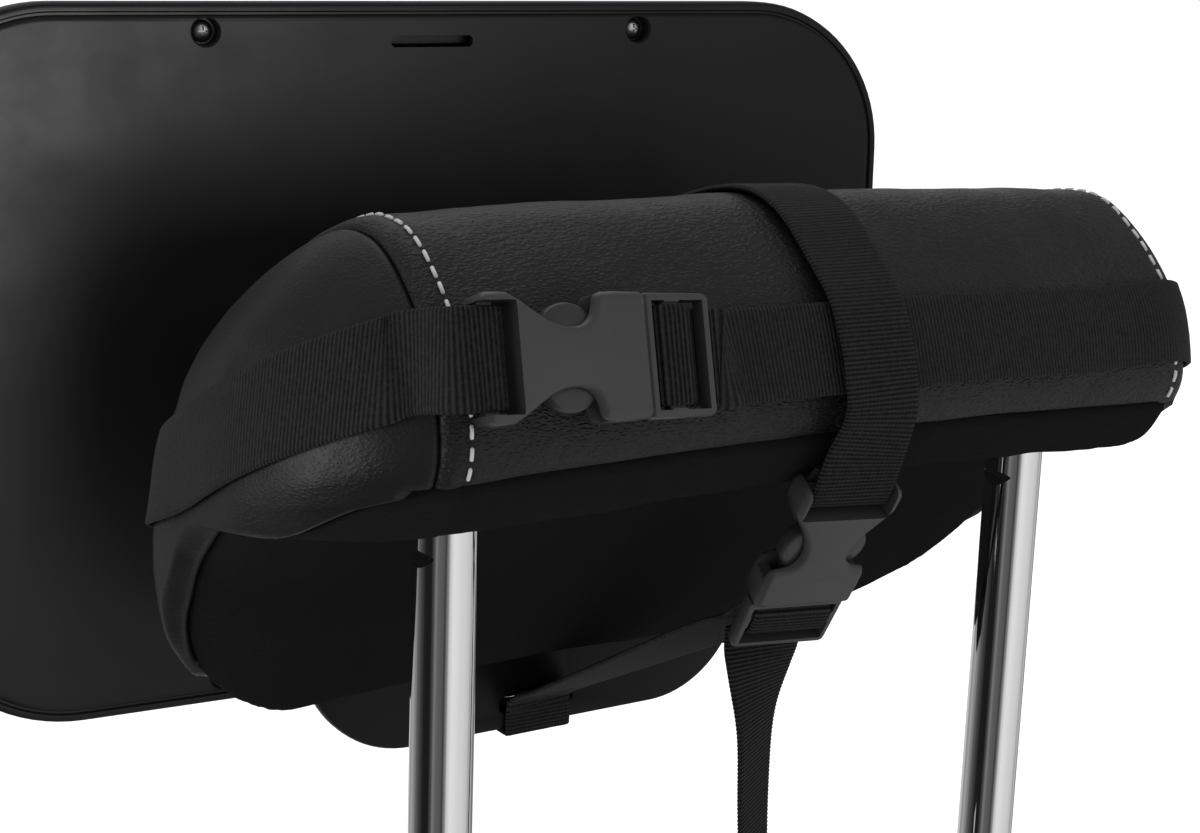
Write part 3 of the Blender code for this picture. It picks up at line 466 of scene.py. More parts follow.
def bake(piece):
    """Applies the piece's modifiers to its mesh."""
    graph = bpy.context.evaluated_depsgraph_get()
    finished = bpy.data.meshes.new_from_object(piece.evaluated_get(graph))
    piece.modifiers.clear()
    piece.data = finished
    return piece


def spline(points, spacing):
    """Points every spacing or so along a smooth curve through the given points, of any dimension."""
    points = np.array(points, float)
    padded = np.vstack([2 * points[0] - points[1], points, 2 * points[-1] - points[-2]])
    dense = []
    for a, b, c, d in zip(padded, padded[1:], padded[2:], padded[3:]):
        for t in np.linspace(0, 1, 12, endpoint=False):
            dense.append(0.5 * (2 * b + (c - a) * t + (2 * a - 5 * b + 4 * c - d) * t ** 2
                                + (3 * b - a - 3 * c + d) * t ** 3))
    dense.append(points[-1])
    return resample(np.array(dense), spacing)


def resample(line, spacing):
    lengths = np.concatenate([[0], np.cumsum(np.linalg.norm(np.diff(line[:, :3], axis=0), axis=1))])
    count = max(2, int(round(lengths[-1] / spacing)) + 1)
    at = np.linspace(0, lengths[-1], count)
    return np.column_stack([np.interp(at, lengths, line[:, k]) for k in range(line.shape[1])])


def smoothstep(low, high, value):
    t = np.clip((value - low) / (high - low), 0.0, 1.0)
    return t * t * (3 - 2 * t)


# ---------------------------------------------------------------- shape helpers

def middle_of(node):
    """The middle of a CAD node's box, in millimetres."""
    return [(low + high) / 2 / MM for low, high in zip(*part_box(node))]


def arc(centre, radius, start, end, steps):
    """Points on a circle's arc, with the angles in degrees."""
    angles = np.radians(np.linspace(start, end, steps + 1))
    return [(centre[0] + radius * math.cos(a), centre[1] + radius * math.sin(a)) for a in angles]


def turned(profile, segments, centre=(0.0, 0.0, 0.0), axis="Y"):
    """Rings of a turned solid round Y or Z. profile is (distance along the axis, radius)."""
    rings = []
    for along, radius in profile:
        ring = []
        for i in range(segments):
            angle = 2 * math.pi * i / segments
            first, second = radius * math.cos(angle), radius * math.sin(angle)
            offset = (first, second, along) if axis == "Z" else (first, along, second)
            ring.append(tuple(c + o for c, o in zip(centre, offset)))
        rings.append(ring)
    return rings


def turned_cutter(profile, segments, centre, place):
    """A solid turned about y, for carve() to use up."""
    return solid(*skin(turned(profile, segments, centre)), place)


def block(low, high, place):
    rings = [[(low[0], low[1], z), (high[0], low[1], z), (high[0], high[1], z), (low[0], high[1], z)]
             for z in (low[2], high[2])]
    points, faces = skin(rings)
    return solid(points, faces, place)


def carve(piece, cutters, operation="DIFFERENCE"):
    """Cuts the cutters out of the piece, or joins them to it, and removes them."""
    for cutter in cutters:
        modify(piece, "BOOLEAN", object=cutter, operation=operation, solver="EXACT")
    bake(piece)
    for cutter in cutters:
        bpy.data.objects.remove(cutter)
    return piece


def inset_outline(outline, inset):
    """The outline moved inwards by inset, along its corners' own normals."""
    line = np.array(outline, float)
    ahead = np.roll(line, -1, axis=0) - np.roll(line, 1, axis=0)
    ahead /= np.maximum(np.linalg.norm(ahead, axis=1), 1e-9)[:, None]
    inward = np.column_stack([-ahead[:, 1], ahead[:, 0]])
    area = np.sum(line[:, 0] * np.roll(line[:, 1], -1) - line[:, 1] * np.roll(line[:, 0], -1))
    if area < 0:
        inward = -inward
    return line + inward * inset


def plate(name, node, outline, levels, mat, place):
    """A plate whose outline, in x and y, shrinks by an inset at each level of z: levels are (z, inset)."""
    rings = [[(x, y, z) for x, y in inset_outline(outline, inset)] for z, inset in levels]
    return stand_in(name, node, rings, mat, place=place)


def rounded_outline(half_width, half_height, radius, steps=20):
    """Corner points of a rounded rectangle about the origin, anticlockwise."""
    outline = []
    for sign_x, sign_z, start in ((1, 1, 0), (-1, 1, 90), (-1, -1, 180), (1, -1, 270)):
        corner = (sign_x * (half_width - radius), sign_z * (half_height - radius))
        outline += arc(corner, radius, start, start + 90, steps)
    return outline


def layered(half_width, half_height, radius, levels, centre=(0.0, 0.0)):
    """Rings of a rounded rectangle in x and z; levels are (y, how far it is inset there)."""
    rings = []
    for y, inset in levels:
        outline = rounded_outline(half_width - inset, half_height - inset, radius - inset)
        rings.append([(centre[0] + x, y, centre[1] + z) for x, z in outline])
    return rings


# ---------------------------------------------------------------- pad

def pad_points(xs, section):
    """Where the section's points lie at their own xs: drawn in towards the rounded ends, low parts apart."""
    reach = np.minimum(np.abs(xs) / SEAM_START, 1.0) ** 2
    crown = PAD_CROWN * smoothstep(30.0, 50.0, section[:, 0])
    arched = section - np.column_stack([crown, np.full(len(section), PAD_ARCH)]) * reach[:, None]
    low = smoothstep(0.0, 1.0, (LOWER_START - section[:, 1]) / 40.0)
    side = -1 if xs[0] < 0 else 1
    start = SEAM_START - LOWER_CORNER[side] * low
    along = np.clip((np.abs(xs) - start) / (PAD_HALF_WIDTH - start), 0.0, 1.0)
    drawn = 0.25 * along + 0.75 * (1 - np.sqrt(1 - along * along))
    end_scale = END_SCALE + (LOWER_END_SCALE[side] - END_SCALE) * low
    scale = 1 - (1 - end_scale) * drawn
    ring = END_CENTRE + (arched - END_CENTRE) * scale[:, None]
    return np.column_stack([xs, ring[:, 0], ring[:, 1] + PAD_LEVEL])


def cornered(x, border, is_leather):
    """x of each column in the row at x, moved so that the felt panel's corners come out round."""
    width, height = FELT_CORNER
    near = np.clip(1 - border / height, 0.0, 1.0)
    cut = np.where(is_leather, near ** 2, 1 - np.sqrt(1 - near * near)) * width
    rim = RIM_X - cut
    flat = RIM_X - width - 1.0
    size = abs(x)
    inner = flat + (size - flat) * (rim - flat) / (RIM_X - flat)
    outer = rim + (size - RIM_X) * (PAD_HALF_WIDTH - rim) / (PAD_HALF_WIDTH - RIM_X)
    moved = np.where(size <= flat, size, np.where(size <= RIM_X, inner, outer))
    return np.sign(x) * moved if x else moved


def pad_rows():
    """(x, shrink) of each row of the pad's grid; rows that shrink fill in the flat ends."""
    middle = np.arange(0.0, 94.0, 3.0)
    seam = np.arange(94.5, 106.01, 0.5)
    width = PAD_HALF_WIDTH - SEAM_START
    shoulder = SEAM_START + width * np.sin(np.radians(np.arange(18.0, 49.0, 3.0)))
    rim = np.arange(RIM_X - 1.2, RIM_X + 1.8, 0.4)
    tip = SEAM_START + width * np.sin(np.radians(np.arange(63.0, 90.01, 3.0)))
    right = [(x, 1.0) for x in np.concatenate([middle, seam, shoulder, rim, tip])]
    right += [(PAD_HALF_WIDTH, shrink) for shrink in (0.93, 0.85, 0.76, 0.66, 0.55, 0.43, 0.3, 0.17, 0.06)]
    return [(-x, shrink) for x, shrink in right[:0:-1]] + right


def pad_grid():
    """The pad's smooth grid, its normals and rows, which columns are leather and how far each has reached."""
    leather_line = spline(LEATHER_SECTION, 2.0)
    felt_line = spline(FELT_SECTION, 2.4)[1:-1]
    section = np.vstack([leather_line, felt_line])
    rows = pad_rows()
    border, reached = column_distances(section, len(leather_line))
    is_leather = np.arange(len(section)) < len(leather_line)
    grid = np.array([pad_points(cornered(x, border, is_leather), section) for x, _ in rows])
    centre = np.array([END_CENTRE[0], END_CENTRE[1] + PAD_LEVEL])
    for i, (_, shrink) in enumerate(rows):
        grid[i, :, 1:] = centre + (grid[i, :, 1:] - centre) * shrink
    along = np.gradient(grid, axis=0)
    around = np.roll(grid, -1, axis=1) - np.roll(grid, 1, axis=1)
    normals = np.cross(along, around)
    normals /= np.maximum(np.linalg.norm(normals, axis=2), 1e-9)[:, :, None]
    middle = len(rows) // 2
    if normals[middle, np.argmax(grid[middle, :, 2]), 2] < 0:
        normals = -normals
    return grid, normals, np.array([x for x, _ in rows]), is_leather, border, reached


def wrinkles(points, size, height, seed):
    """Soft unevenness of a surface, size and height in millimetres."""
    flat = points.reshape(-1, 3) / size + seed
    return np.array([noise.noise(Vector(p)) for p in flat]).reshape(points.shape[:2]) * height


def column_distances(section, leather_count):
    """How far each column is from the nearest line where leather and felt meet, and from the first one."""
    steps = np.linalg.norm(np.roll(section, -1, axis=0) - section, axis=1)
    reached = np.concatenate([[0.0], np.cumsum(steps)[:-1]])
    total = steps.sum()
    meeting = reached[leather_count - 1]
    first = np.minimum(reached, total - reached)
    return np.minimum(first, np.abs(reached - meeting)), reached


def rolled(distance, radius):
    near = np.clip(radius - distance, 0.0, radius)
    return radius - np.sqrt(radius ** 2 - near ** 2 * 0.98)


def closed_cover(name, outer, inner, cells, caps, mat, replaced):
    """A closed shell over the chosen cells of a grid; caps names the rows whose ring is filled."""
    size = outer.shape[1]
    faces = [ring_cell(row, row + 1, i, size) for row, i in cells]
    faces += [tuple(row * size + i for i in range(size)) for row in caps]
    used = {}
    for face in faces:
        for index in face:
            used.setdefault(index, len(used))
    order = list(used)
    half = len(order)
    points = np.vstack([outer.reshape(-1, 3)[order], inner.reshape(-1, 3)[order]])
    top = [tuple(used[i] for i in face) for face in faces]
    sides = {}
    for face in top:
        for a, b in zip(face, face[1:] + face[:1]):
            sides[(a, b)] = True
    walls = [(b, a, a + half, b + half) for a, b in sides if (b, a) not in sides]
    backs = [tuple(i + half for i in reversed(face)) for face in top]
    return add_piece(name, points, top + backs + walls, mat, "headrest", replaced)


def pad_cells(xs, size, leather_count):
    """The grid's cells under the centre, left, right and felt covers, as (row, column)."""
    centre, left, right, beneath = [], [], [], []
    for row in range(len(xs) - 1):
        middle = (xs[row] + xs[row + 1]) / 2
        outside = abs(middle) > RIM_X or xs[row] == xs[row + 1]
        for i in range(size):
            over = i < leather_count - 1
            if over and abs(middle) < PANEL_SEAM_X:
                centre.append((row, i))
            elif (over or outside) and abs(middle) > PANEL_SEAM_X:
                (left if middle < 0 else right).append((row, i))
            elif not over:
                beneath.append((row, i))
    return centre, left, right, beneath


def build_pad():
    """Leather centre and ends and the felt underneath. Returns what the straps and stitches lie on."""
    grid, normals, xs, is_leather, border, reached = pad_grid()
    leather_count = int(is_leather.sum())
    distance = np.abs(grid[:, :, 0])
    run = np.cumsum(np.linalg.norm(np.diff(grid, axis=0, prepend=grid[:1]), axis=2), axis=0)

    seam_gap = np.abs(distance - PANEL_SEAM_X)
    allowance = np.exp(-((distance - 99.8) / 1.7) ** 2) * 0.5
    pucker = 0.6 + 0.4 * np.cos(2 * math.pi * reached / STITCH_PITCH)[None, :]
    valley = np.exp(-((distance - STITCH_X) / 0.75) ** 2) * 0.5 * pucker
    crumple = wrinkles(grid, 17.0, 0.5, 3.0) + wrinkles(grid, 6.5, 0.16, 11.0)
    leather_relief = allowance - valley + crumple - rolled(seam_gap, 1.2)
    rims = [int(np.argmin(np.abs(xs - side * RIM_X))) for side in (-1, 1)]
    beyond = np.maximum(run[rims[0]] - run, run - run[rims[1]])
    rim_gap = np.abs(beyond)
    to_felt = np.hypot(border[None, :] * is_leather[None, :], np.maximum(beyond, 0.0))
    leather_relief = leather_relief - rolled(to_felt, HEM_RADIUS)
    nap = wrinkles(grid, 1.7, 0.22, 5.0) + wrinkles(grid, 22.0, 0.9, 9.0)
    felt_relief = nap - 1.1 - rolled(border, 2.2)[None, :] * 0.7 - rolled(rim_gap, 3.0) * 0.7

    covers = grid + normals * leather_relief[:, :, None]
    cover_backs = grid + normals * (leather_relief.clip(-1.2, 0.3) - LEATHER_THICKNESS)[:, :, None]
    under = grid + normals * felt_relief[:, :, None]
    under_backs = grid + normals * (felt_relief.clip(-2.4, 0.0) - 1.6)[:, :, None]

    centre, left, right, beneath = pad_cells(xs, grid.shape[1], leather_count)
    smooth = leather("leather_smooth", 0.22)
    grained = leather("leather_grained", 1.0)
    closed_cover("leather_centre", covers, cover_backs, centre, [], grained, ["cover_centre"])
    closed_cover("leather_end_left", covers, cover_backs, left, [0], smooth, ["cover_left"])
    closed_cover("leather_end_right", covers, cover_backs, right, [len(xs) - 1], smooth,
                 ["cover_right"])
    closed_cover("felt_underside", under, under_backs, beneath, [], felt(), ["underside_felt"])

    build_core(grid, normals, xs)
    mask = is_leather[None, :] | (np.abs(xs) > RIM_X)[:, None]
    surface = np.where(mask[:, :, None], covers, under)
    return surface, normals, xs, leather_count


def build_core(grid, normals, xs):
    """The foam block, hidden inside the covers."""
    inward = normals * (0.0, 1.0, 1.0)
    inward /= np.maximum(np.linalg.norm(inward, axis=2), 1e-6)[:, :, None]
    rings = (grid - inward * CORE_DEPTH)[np.abs(xs) < CORE_HALF_WIDTH]
    stand_in("foam_block", "foam_core", rings, foam(), None)


def surface_tree(surface):
    """A search tree over the pad's outer surface, in millimetres."""
    rows, size = surface.shape[:2]
    faces = [ring_cell(row, row + 1, i, size) for row in range(rows - 1) for i in range(size)]
    return BVHTree.FromPolygons([tuple(p) for p in surface.reshape(-1, 3)], faces)


def tube_along(path, radius, sides, offset=0):
    """Points and faces of a round tube along a path, its ends drawn in."""
    path = [Vector(p) for p in path]
    rings = []
    guide = Vector((0.3, 0.5, 0.8))
    for i, point in enumerate(path):
        tangent = (path[min(i + 1, len(path) - 1)] - path[max(i - 1, 0)]).normalized()
        first = tangent.cross(guide).normalized()
        second = tangent.cross(first)
        width = radius * (0.45 if i in (0, len(path) - 1) else 1.0)
        ring = []
        for k in range(sides):
            angle = 2 * math.pi * k / sides
            ring.append(point + (first * math.cos(angle) + second * math.sin(angle)) * width)
        rings.append(ring)
    points, faces = skin(rings)
    return points, [tuple(i + offset for i in face) for face in faces]


def stitch_row(name, line, out, mat):
    """A row of separate stitches along a line, each one dipping into the surface at its ends."""
    both = resample(np.hstack([line, out]), STITCH_STEP)
    points, faces = [], []
    for start in np.arange(STITCH_PITCH, (len(both) - 1) * STITCH_STEP - STITCH_PITCH, STITCH_PITCH):
        first = int(start / STITCH_STEP)
        picks = [first + int(STITCH_LENGTH * t / STITCH_STEP) for t in (0.0, 0.15, 0.5, 0.85, 1.0)]
        if picks[-1] >= len(both):
            break
        lifts = (-0.45, 0.22, 0.38, 0.22, -0.45)
        path = [both[k, :3] + both[k, 3:] * lift for k, lift in zip(picks, lifts)]
        more_points, more_faces = tube_along(path, THREAD_RADIUS, 7, len(points))
        points += [tuple(p) for p in more_points]
        faces += more_faces
    add_piece(name, points, faces, mat, "headrest")


def stitch_pad(surface, normals, xs, leather_count):
    """The two rows of pale stitches beside the seams."""
    pale = thread("pale_thread", (0.42, 0.42, 0.41))
    for side, name in ((-1, "stitches_left"), (1, "stitches_right")):
        row = int(np.argmin(np.abs(xs - side * STITCH_X)))
        line = surface[row, :leather_count]
        out = normals[row, :leather_count]
        stitch_row(name, line, out, pale)


# ---------------------------------------------------------------- webbing

def strap_sections(node):
    """A CAD strap's cross-sections in order along it, as (centre, width direction) in millimetres."""
    mesh = frame["nodes"][node].data
    corners = {}
    number = []
    for vertex in mesh.vertices:
        key = tuple(round(c / MM, 3) for c in vertex.co)
        number.append(corners.setdefault(key, len(corners)))
    spots = [Vector(key) for key in corners]
    edges = {frozenset((number[a], number[b])) for a, b in (edge.vertices for edge in mesh.edges)}
    edges = [tuple(edge) for edge in edges if len(edge) == 2]

    def of_length(length):
        return [e for e in edges if abs((spots[e[0]] - spots[e[1]]).length - length) < 0.005]

    thick = {}
    for a, b in of_length(WEB_THICKNESS):
        thick.setdefault(a, []).append(b)
        thick.setdefault(b, []).append(a)
    wide = of_length(WEB_WIDTH)
    known = {frozenset(edge) for edge in wide}
    rings = {}
    for a, b in wide:
        for c in thick.get(a, []):
            for d in thick.get(b, []):
                if frozenset((c, d)) in known:
                    rings[frozenset((a, b, c, d))] = (a, b, c, d)
    rings = list(rings.values())
    owner = {corner: i for i, ring in enumerate(rings) for corner in ring}
    beside = [set() for _ in rings]
    for a, b in edges:
        if a in owner and b in owner and owner[a] != owner[b]:
            beside[owner[a]].add(owner[b])
            beside[owner[b]].add(owner[a])
    step = next(i for i, found in enumerate(beside) if len(found) == 1)
    order = []
    while step is not None:
        order.append(step)
        step = next((i for i in beside[step] if i not in order), None)
    sections = []
    for i in order:
        a, b, c, d = (spots[k] for k in rings[i])
        side = ((b - a) + (d - c)).normalized()
        if sections and side.dot(sections[-1][1]) < 0:
            side = -side
        sections.append(((a + b + c + d) / 4, side))
    return sections


def led_on(sections, lead):
    """The sections with one more, lead beyond the upper end."""
    first, second = (0, 1) if sections[0][0].z > sections[-1][0].z else (-1, -2)
    tangent = (sections[first][0] - sections[second][0]).normalized()
    extra = (sections[first][0] + tangent * lead, sections[first][1])
    return [extra] + sections if first == 0 else sections + [extra]


def slide(values, reach, take=np.mean):
    """What take makes of the values within reach rows of each row."""
    padded = np.pad(values, ((reach, reach), (0, 0)), mode="edge")
    return take([padded[k:k + len(values)] for k in range(2 * reach + 1)], axis=0)


def rows_in(length):
    """How many of a strap's rings fit in a length."""
    return int(length * RIB_SAMPLES / RIB_PITCH)


def unit(vectors):
    return vectors / np.linalg.norm(vectors, axis=1)[:, None]


def eased(centres, sides, places):
    """The strap's path with its turns in its own plane spread out, away from buckles and tight bends."""
    tangents = unit(np.gradient(centres, axis=0))
    bend = np.linalg.norm(np.gradient(tangents, axis=0), axis=1)[:, None] * RIB_SAMPLES / RIB_PITCH
    tight = slide(smoothstep(0.04, 0.09, bend), rows_in(EASE), np.max)
    fixed = np.maximum(tight, held_by(places, centres, 1.0, 9.0)[:, None])
    fixed[:rows_in(EASE)] = 1.0
    fixed[-rows_in(EASE):] = 1.0
    fixed = slide(fixed, rows_in(EASE / 2))
    centres = centres * fixed + slide(centres, rows_in(EASE)) * (1 - fixed)
    sides = sides * fixed + slide(sides, rows_in(EASE)) * (1 - fixed)
    return centres, sides


def settle(centres, sides, normals, trees, held):
    """How far each lane of a strap drops, against its normal, to lie on what is under it."""
    drop = np.full((len(centres), len(WEB_LANES)), np.nan)
    for i, (centre, side, normal) in enumerate(zip(centres, sides, normals)):
        if held[i] >= 1.0:
            continue
        for j, lane in enumerate(WEB_LANES):
            start = Vector(centre + side * lane + normal * RAY_LEAD)
            hits = [tree.ray_cast(start, Vector(-normal), RAY_REACH)[3] for tree in trees]
            hits = [hit for hit in hits if hit is not None]
            if hits:
                drop[i, j] = min(hits) - RAY_LEAD - WEB_REST - WEB_THICKNESS / 2
    least = np.nanmin(np.where(np.isnan(drop), 99.0, drop), axis=1)[:, None]
    drop = np.fmin(drop, least + WEB_TWIST)
    free = smoothstep(8.0, 10.0, least)
    drop = drop.clip(-3.0, 8.0) * (1 - free) * (1 - held[:, None])
    return slide(slide(slide(drop, rows_in(4.0), np.min), rows_in(4.8)), rows_in(4.8))


def held_by(places, points, near=4.0, far=52.0):
    """1 where points are inside a buckle's reach, fading to 0 from near to far off it."""
    held = np.zeros(len(points))
    for place in places:
        inverse = place.inverted()
        local = np.array([list(inverse @ (Vector(p) * MM)) for p in points]) / MM
        off = np.maximum(HOLD_START - local[:, 0], local[:, 0] - HOLD_END).clip(0.0, None)
        beside = (np.maximum(np.abs(local[:, 1]), np.abs(local[:, 2])) - HOLD_HALF).clip(0.0, None)
        held = np.maximum(held, 1 - smoothstep(near, far, np.maximum(off, beside)))
    return held


def upright(sides, normals, centres, places):
    """The ribs' directions: as the sides in buckles, elsewhere as upright as the strap's face allows."""
    level = unit(np.array((0.0, 0.0, 1.0)) - normals * normals[:, 2:])
    lean = np.sum(level * sides, axis=1)[:, None]
    loose = 1 - held_by(places, centres, 1.0, 12.0)[:, None]
    return sides * (1 - loose) + level / lean * loose


def is_facing_in(tree, centres, normals):
    """Whether a strap's normals mostly point at the surface that it lies on."""
    votes = 0
    for centre, normal in zip(centres[::10], normals[::10]):
        near = tree.ray_cast(Vector(centre), Vector(-normal), RAY_NEAR)[0] is not None
        far = tree.ray_cast(Vector(centre), Vector(normal), RAY_NEAR)[0] is not None
        votes += near - far
    return votes < 0


def lay_webbing(name, node, mat, trees, places, lead=0.0, is_upright=False, sag=0.0):
    """A strap that follows its CAD strap and settles on what lies under it. Returns a tree of its surface.

    lead lengthens it at its upper end, and sag lowers its part over the pad's middle.
    """
    sections = strap_sections(node)
    if lead:
        sections = led_on(sections, lead)
    line = spline([list(centre) + list(side) for centre, side in sections], RIB_PITCH / RIB_SAMPLES)
    inner = smoothstep(58.0, 118.0, line[:, 0])
    line[:, 2] -= sag * (1 - inner) * (1 - held_by(places, line[:, :3], 0.0, 8.0)) * (line[:, 1] < 40.0)
    centres, sides = eased(line[:, :3], line[:, 3:], places)
    tangents = unit(np.gradient(centres, axis=0))
    sides = unit(sides - tangents * np.sum(sides * tangents, axis=1)[:, None])
    normals = np.cross(tangents, sides)
    held = held_by(places, centres)
    held = np.maximum(held, smoothstep(62.0, 70.0, centres[:, 1]))
    if trees and is_facing_in(trees[0], centres, normals):
        sides, normals = -sides, -normals
    if is_upright:
        sides = upright(sides, normals, centres, places)
    drop = np.zeros((len(centres), len(WEB_LANES)))
    if trees:
        drop = settle(centres, sides, normals, trees, held)
    at = np.arange(len(centres)) * RIB_PITCH / RIB_SAMPLES
    rib = RIB_HEIGHT * np.cos(2 * math.pi * at / RIB_PITCH)
    rings = []
    uv = []
    for i, centre in enumerate(centres):
        fall = np.interp(WEB_COLUMNS, WEB_LANES, drop[i])
        middle = centre + np.outer(WEB_COLUMNS, sides[i]) - np.outer(fall, normals[i])
        raised = np.where(WEB_SWELL > 0, WEB_SWELL + rib[i], 0.0)
        top = middle + np.outer(raised, normals[i])
        low = middle - np.outer(raised, normals[i])
        rings.append(np.vstack([top, low[-2:0:-1]]))
        uv += [(c * MM, at[i] * MM) for c in np.concatenate([WEB_COLUMNS, WEB_COLUMNS[-2:0:-1]])]
    points, faces = skin(rings)
    piece = add_piece(name, points, faces, mat, frame_body(node), [node], 50)
    layer = piece.data.uv_layers.new(name="tape")
    picked = np.array([uv[loop.vertex_index] for loop in piece.data.loops], np.float32)
    layer.data.foreach_set("uv", picked.ravel())
    return BVHTree.FromPolygons([tuple(p) for p in points], faces[:-2])


# ---------------------------------------------------------------- buckles

def buckle_place(prefix, first, second):
    """A buckle's matrix, found from its two prong hinges; second is the hinge on the side of its own y."""
    low = joints[f"{prefix}_{first}_release"]
    high = joints[f"{prefix}_{second}_release"]
    across = (Vector(high["pos_m"]) - Vector(low["pos_m"])).normalized()
    out = Vector(high["axis"]).normalized()
    along = across.cross(out)
    place = Matrix((along, across, out)).transposed().to_4x4()
    place.translation = (Vector(high["pos_m"]) + Vector(low["pos_m"])) / 2 - along * PRONG_HINGE[0] * MM
    return place


def socket_outline():
    """The socket's H shape: square ears, and a bite each side that is steeper towards the plug."""
    half = BUCKLE_HALF
    bite = spline([(6.4, half - 0.1), (9.4, 10.7), (12.5, 8.6), (15.6, 6.9), (19.0, 6.0), (21.6, 6.15),
                   (23.6, 7.4), (24.6, 9.5), (25.0, 11.3)], 0.7)
    top = [(0.3, half - 1.6), (0.9, half - 0.5), (2.0, half), (4.5, half)]
    top += [tuple(p) for p in bite]
    top += [(25.6, 12.0), (26.6, half - 0.1), (30.0, half), (SOCKET_LENGTH - 1.2, half - 0.15),
            (SOCKET_LENGTH - 0.4, half - 0.6), (SOCKET_LENGTH, half - 1.5)]
    return top + [(x, -y) for x, y in reversed(top)]


def soften(piece, width):
    """Shades a moulded piece smooth between its edges and rounds the edges off."""
    shade(piece, 32)
    modify(piece, "BEVEL", width=width * MM, segments=2, limit_method="ANGLE", angle_limit=math.radians(50))
    return bake(piece)


def build_socket(name, node, mat, place):
    """The buckle's socket: softened edges, a strap bar, windows for the prongs and a mouth."""
    levels = [(-4.0, 1.1), (-3.6, 0.45), (-2.9, 0.0), (2.6, 0.0), (3.4, 0.35), (3.85, 0.9), (4.05, 1.6)]
    piece = plate(name, node, socket_outline(), levels, mat, place)
    reach = SLOT_HALF
    cuts = [
        block((4.0, -reach, -9), (8.0, reach, 9), place),
        block((-2, -reach + 0.05, 1.2), (4.6, reach - 0.05, 9), place),
        block((-2, -reach + 0.1, -9), (4.7, reach - 0.1, -1.2), place),
        block((-2, -reach + 0.15, -8), (1.0, reach - 0.15, 8), place),
        block((11.0, -9.4, -2.3), (SOCKET_LENGTH + 1, 9.4, 2.3), place),
        block((11.3, -20, -2.2), (27.6, 20, 2.2), place),
    ]
    carve(piece, cuts)
    return soften(piece, 0.22)


def build_plug(name, node, mat, place):
    """The plug's shoulder, guide tongue and the ladder frame that its strap threads."""
    half = BUCKLE_HALF
    start = SOCKET_LENGTH + 0.35
    end = BUCKLE_LENGTH
    corner = [(end - 1.5 + 1.5 * math.sin(a), half - 0.3 - 1.5 + 1.5 * math.cos(a))
              for a in np.radians(np.arange(0, 91, 22.5))]
    top = [(start, half - 0.5), (start + 0.7, half - 0.1)] + corner
    outline = top + [(x, -y) for x, y in reversed(top)]
    levels = [(-1.8, 0.7), (-1.55, 0.25), (-1.1, 0.0), (1.2, 0.0), (1.75, 0.25), (2.0, 0.7)]
    piece = plate(name, node, outline, levels, mat, place)
    reach = SLOT_HALF
    cuts = [
        block((38.6, -reach, -9), (41.5, reach, 9), place),
        block((45.0, -reach, -9), (50.4, reach, 9), place),
        block((40.5, -reach + 0.3, 1.2), (46.0, reach - 0.3, 9), place),
        block((40.5, -reach + 0.3, -9), (46.0, reach - 0.3, -1.2), place),
    ]
    carve(piece, cuts)
    carve(piece, [block((15.0, -1.6, -1.5), (start + 1, 1.6, 1.5), place)], "UNION")
    return soften(piece, 0.2)


def build_prong(name, node, side, mat, place):
    """A sprung arm with a crowned, almond-shaped pad that shows in the socket's bite."""
    hinge_x = PRONG_HINGE[0]
    head = [(19.6 + 5.6 * math.cos(a), 6.0 + 4.6 * math.sin(a)) for a in np.radians(np.arange(25, 156, 10))]
    arm = [(hinge_x + 0.2, 4.0), (hinge_x + 0.2, 6.4), (28.6, 6.6), (26.4, 8.0)]
    outline = [(x, side * y) for x, y in arm + head + [(13.8, 6.4), (15.0, 4.6), (24.0, 4.0)]]
    levels = [(-1.9, 0.5), (-1.5, 0.1), (-1.2, 0.0), (1.2, 0.0), (1.6, 0.15), (1.9, 0.6)]
    return plate(name, node, outline, levels, mat, place)


def build_buckle(prefix, first, second, satin, pad):
    place = buckle_place(prefix, first, second)
    build_socket(f"{prefix}_buckle_socket", f"{prefix}_socket", satin, place)
    build_plug(f"{prefix}_buckle_plug", f"{prefix}_plug", satin, place)
    for side, label in ((-1, first), (1, second)):
        build_prong(f"{prefix}_buckle_prong_{label}", f"{prefix}_prong_{label}", side, pad, place)
    return place


# ---------------------------------------------------------------- posts

def build_post(name, node, mat):
    """A chromed post with a domed lower edge and the notch that the seat's height lock drops into."""
    low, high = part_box(node)
    x = middle_of(node)[0]
    radius = (high.y - low.y) / 2 / MM
    top = high.z / MM
    edge = arc((2.0, radius - 2.0), 2.0, 180, 90, 8)
    rings = turned(edge + [(z, radius) for z in np.linspace(10.0, top, 12)], 128, (x, 0, 0), "Z")
    post = stand_in(name, node, rings, mat)
    face = x - radius + NOTCH_DEPTH
    level = PAD_LEVEL - NOTCH_BELOW_PAD
    ledge = level - NOTCH_LEDGE
    slope = [(x - radius - 1, level + 0.6), (x - radius, level), (face, ledge), (face, ledge - 0.5),
             (x - radius - 1, level - NOTCH_HEIGHT)]
    wedge, wedge_faces = skin([[(u, y, z) for u, z in slope] for y in (-radius - 1, radius + 1)])
    carve(post, [solid(wedge, wedge_faces, Matrix())])
    shade(post, 20)


# ---------------------------------------------------------------- base plate and ball mount

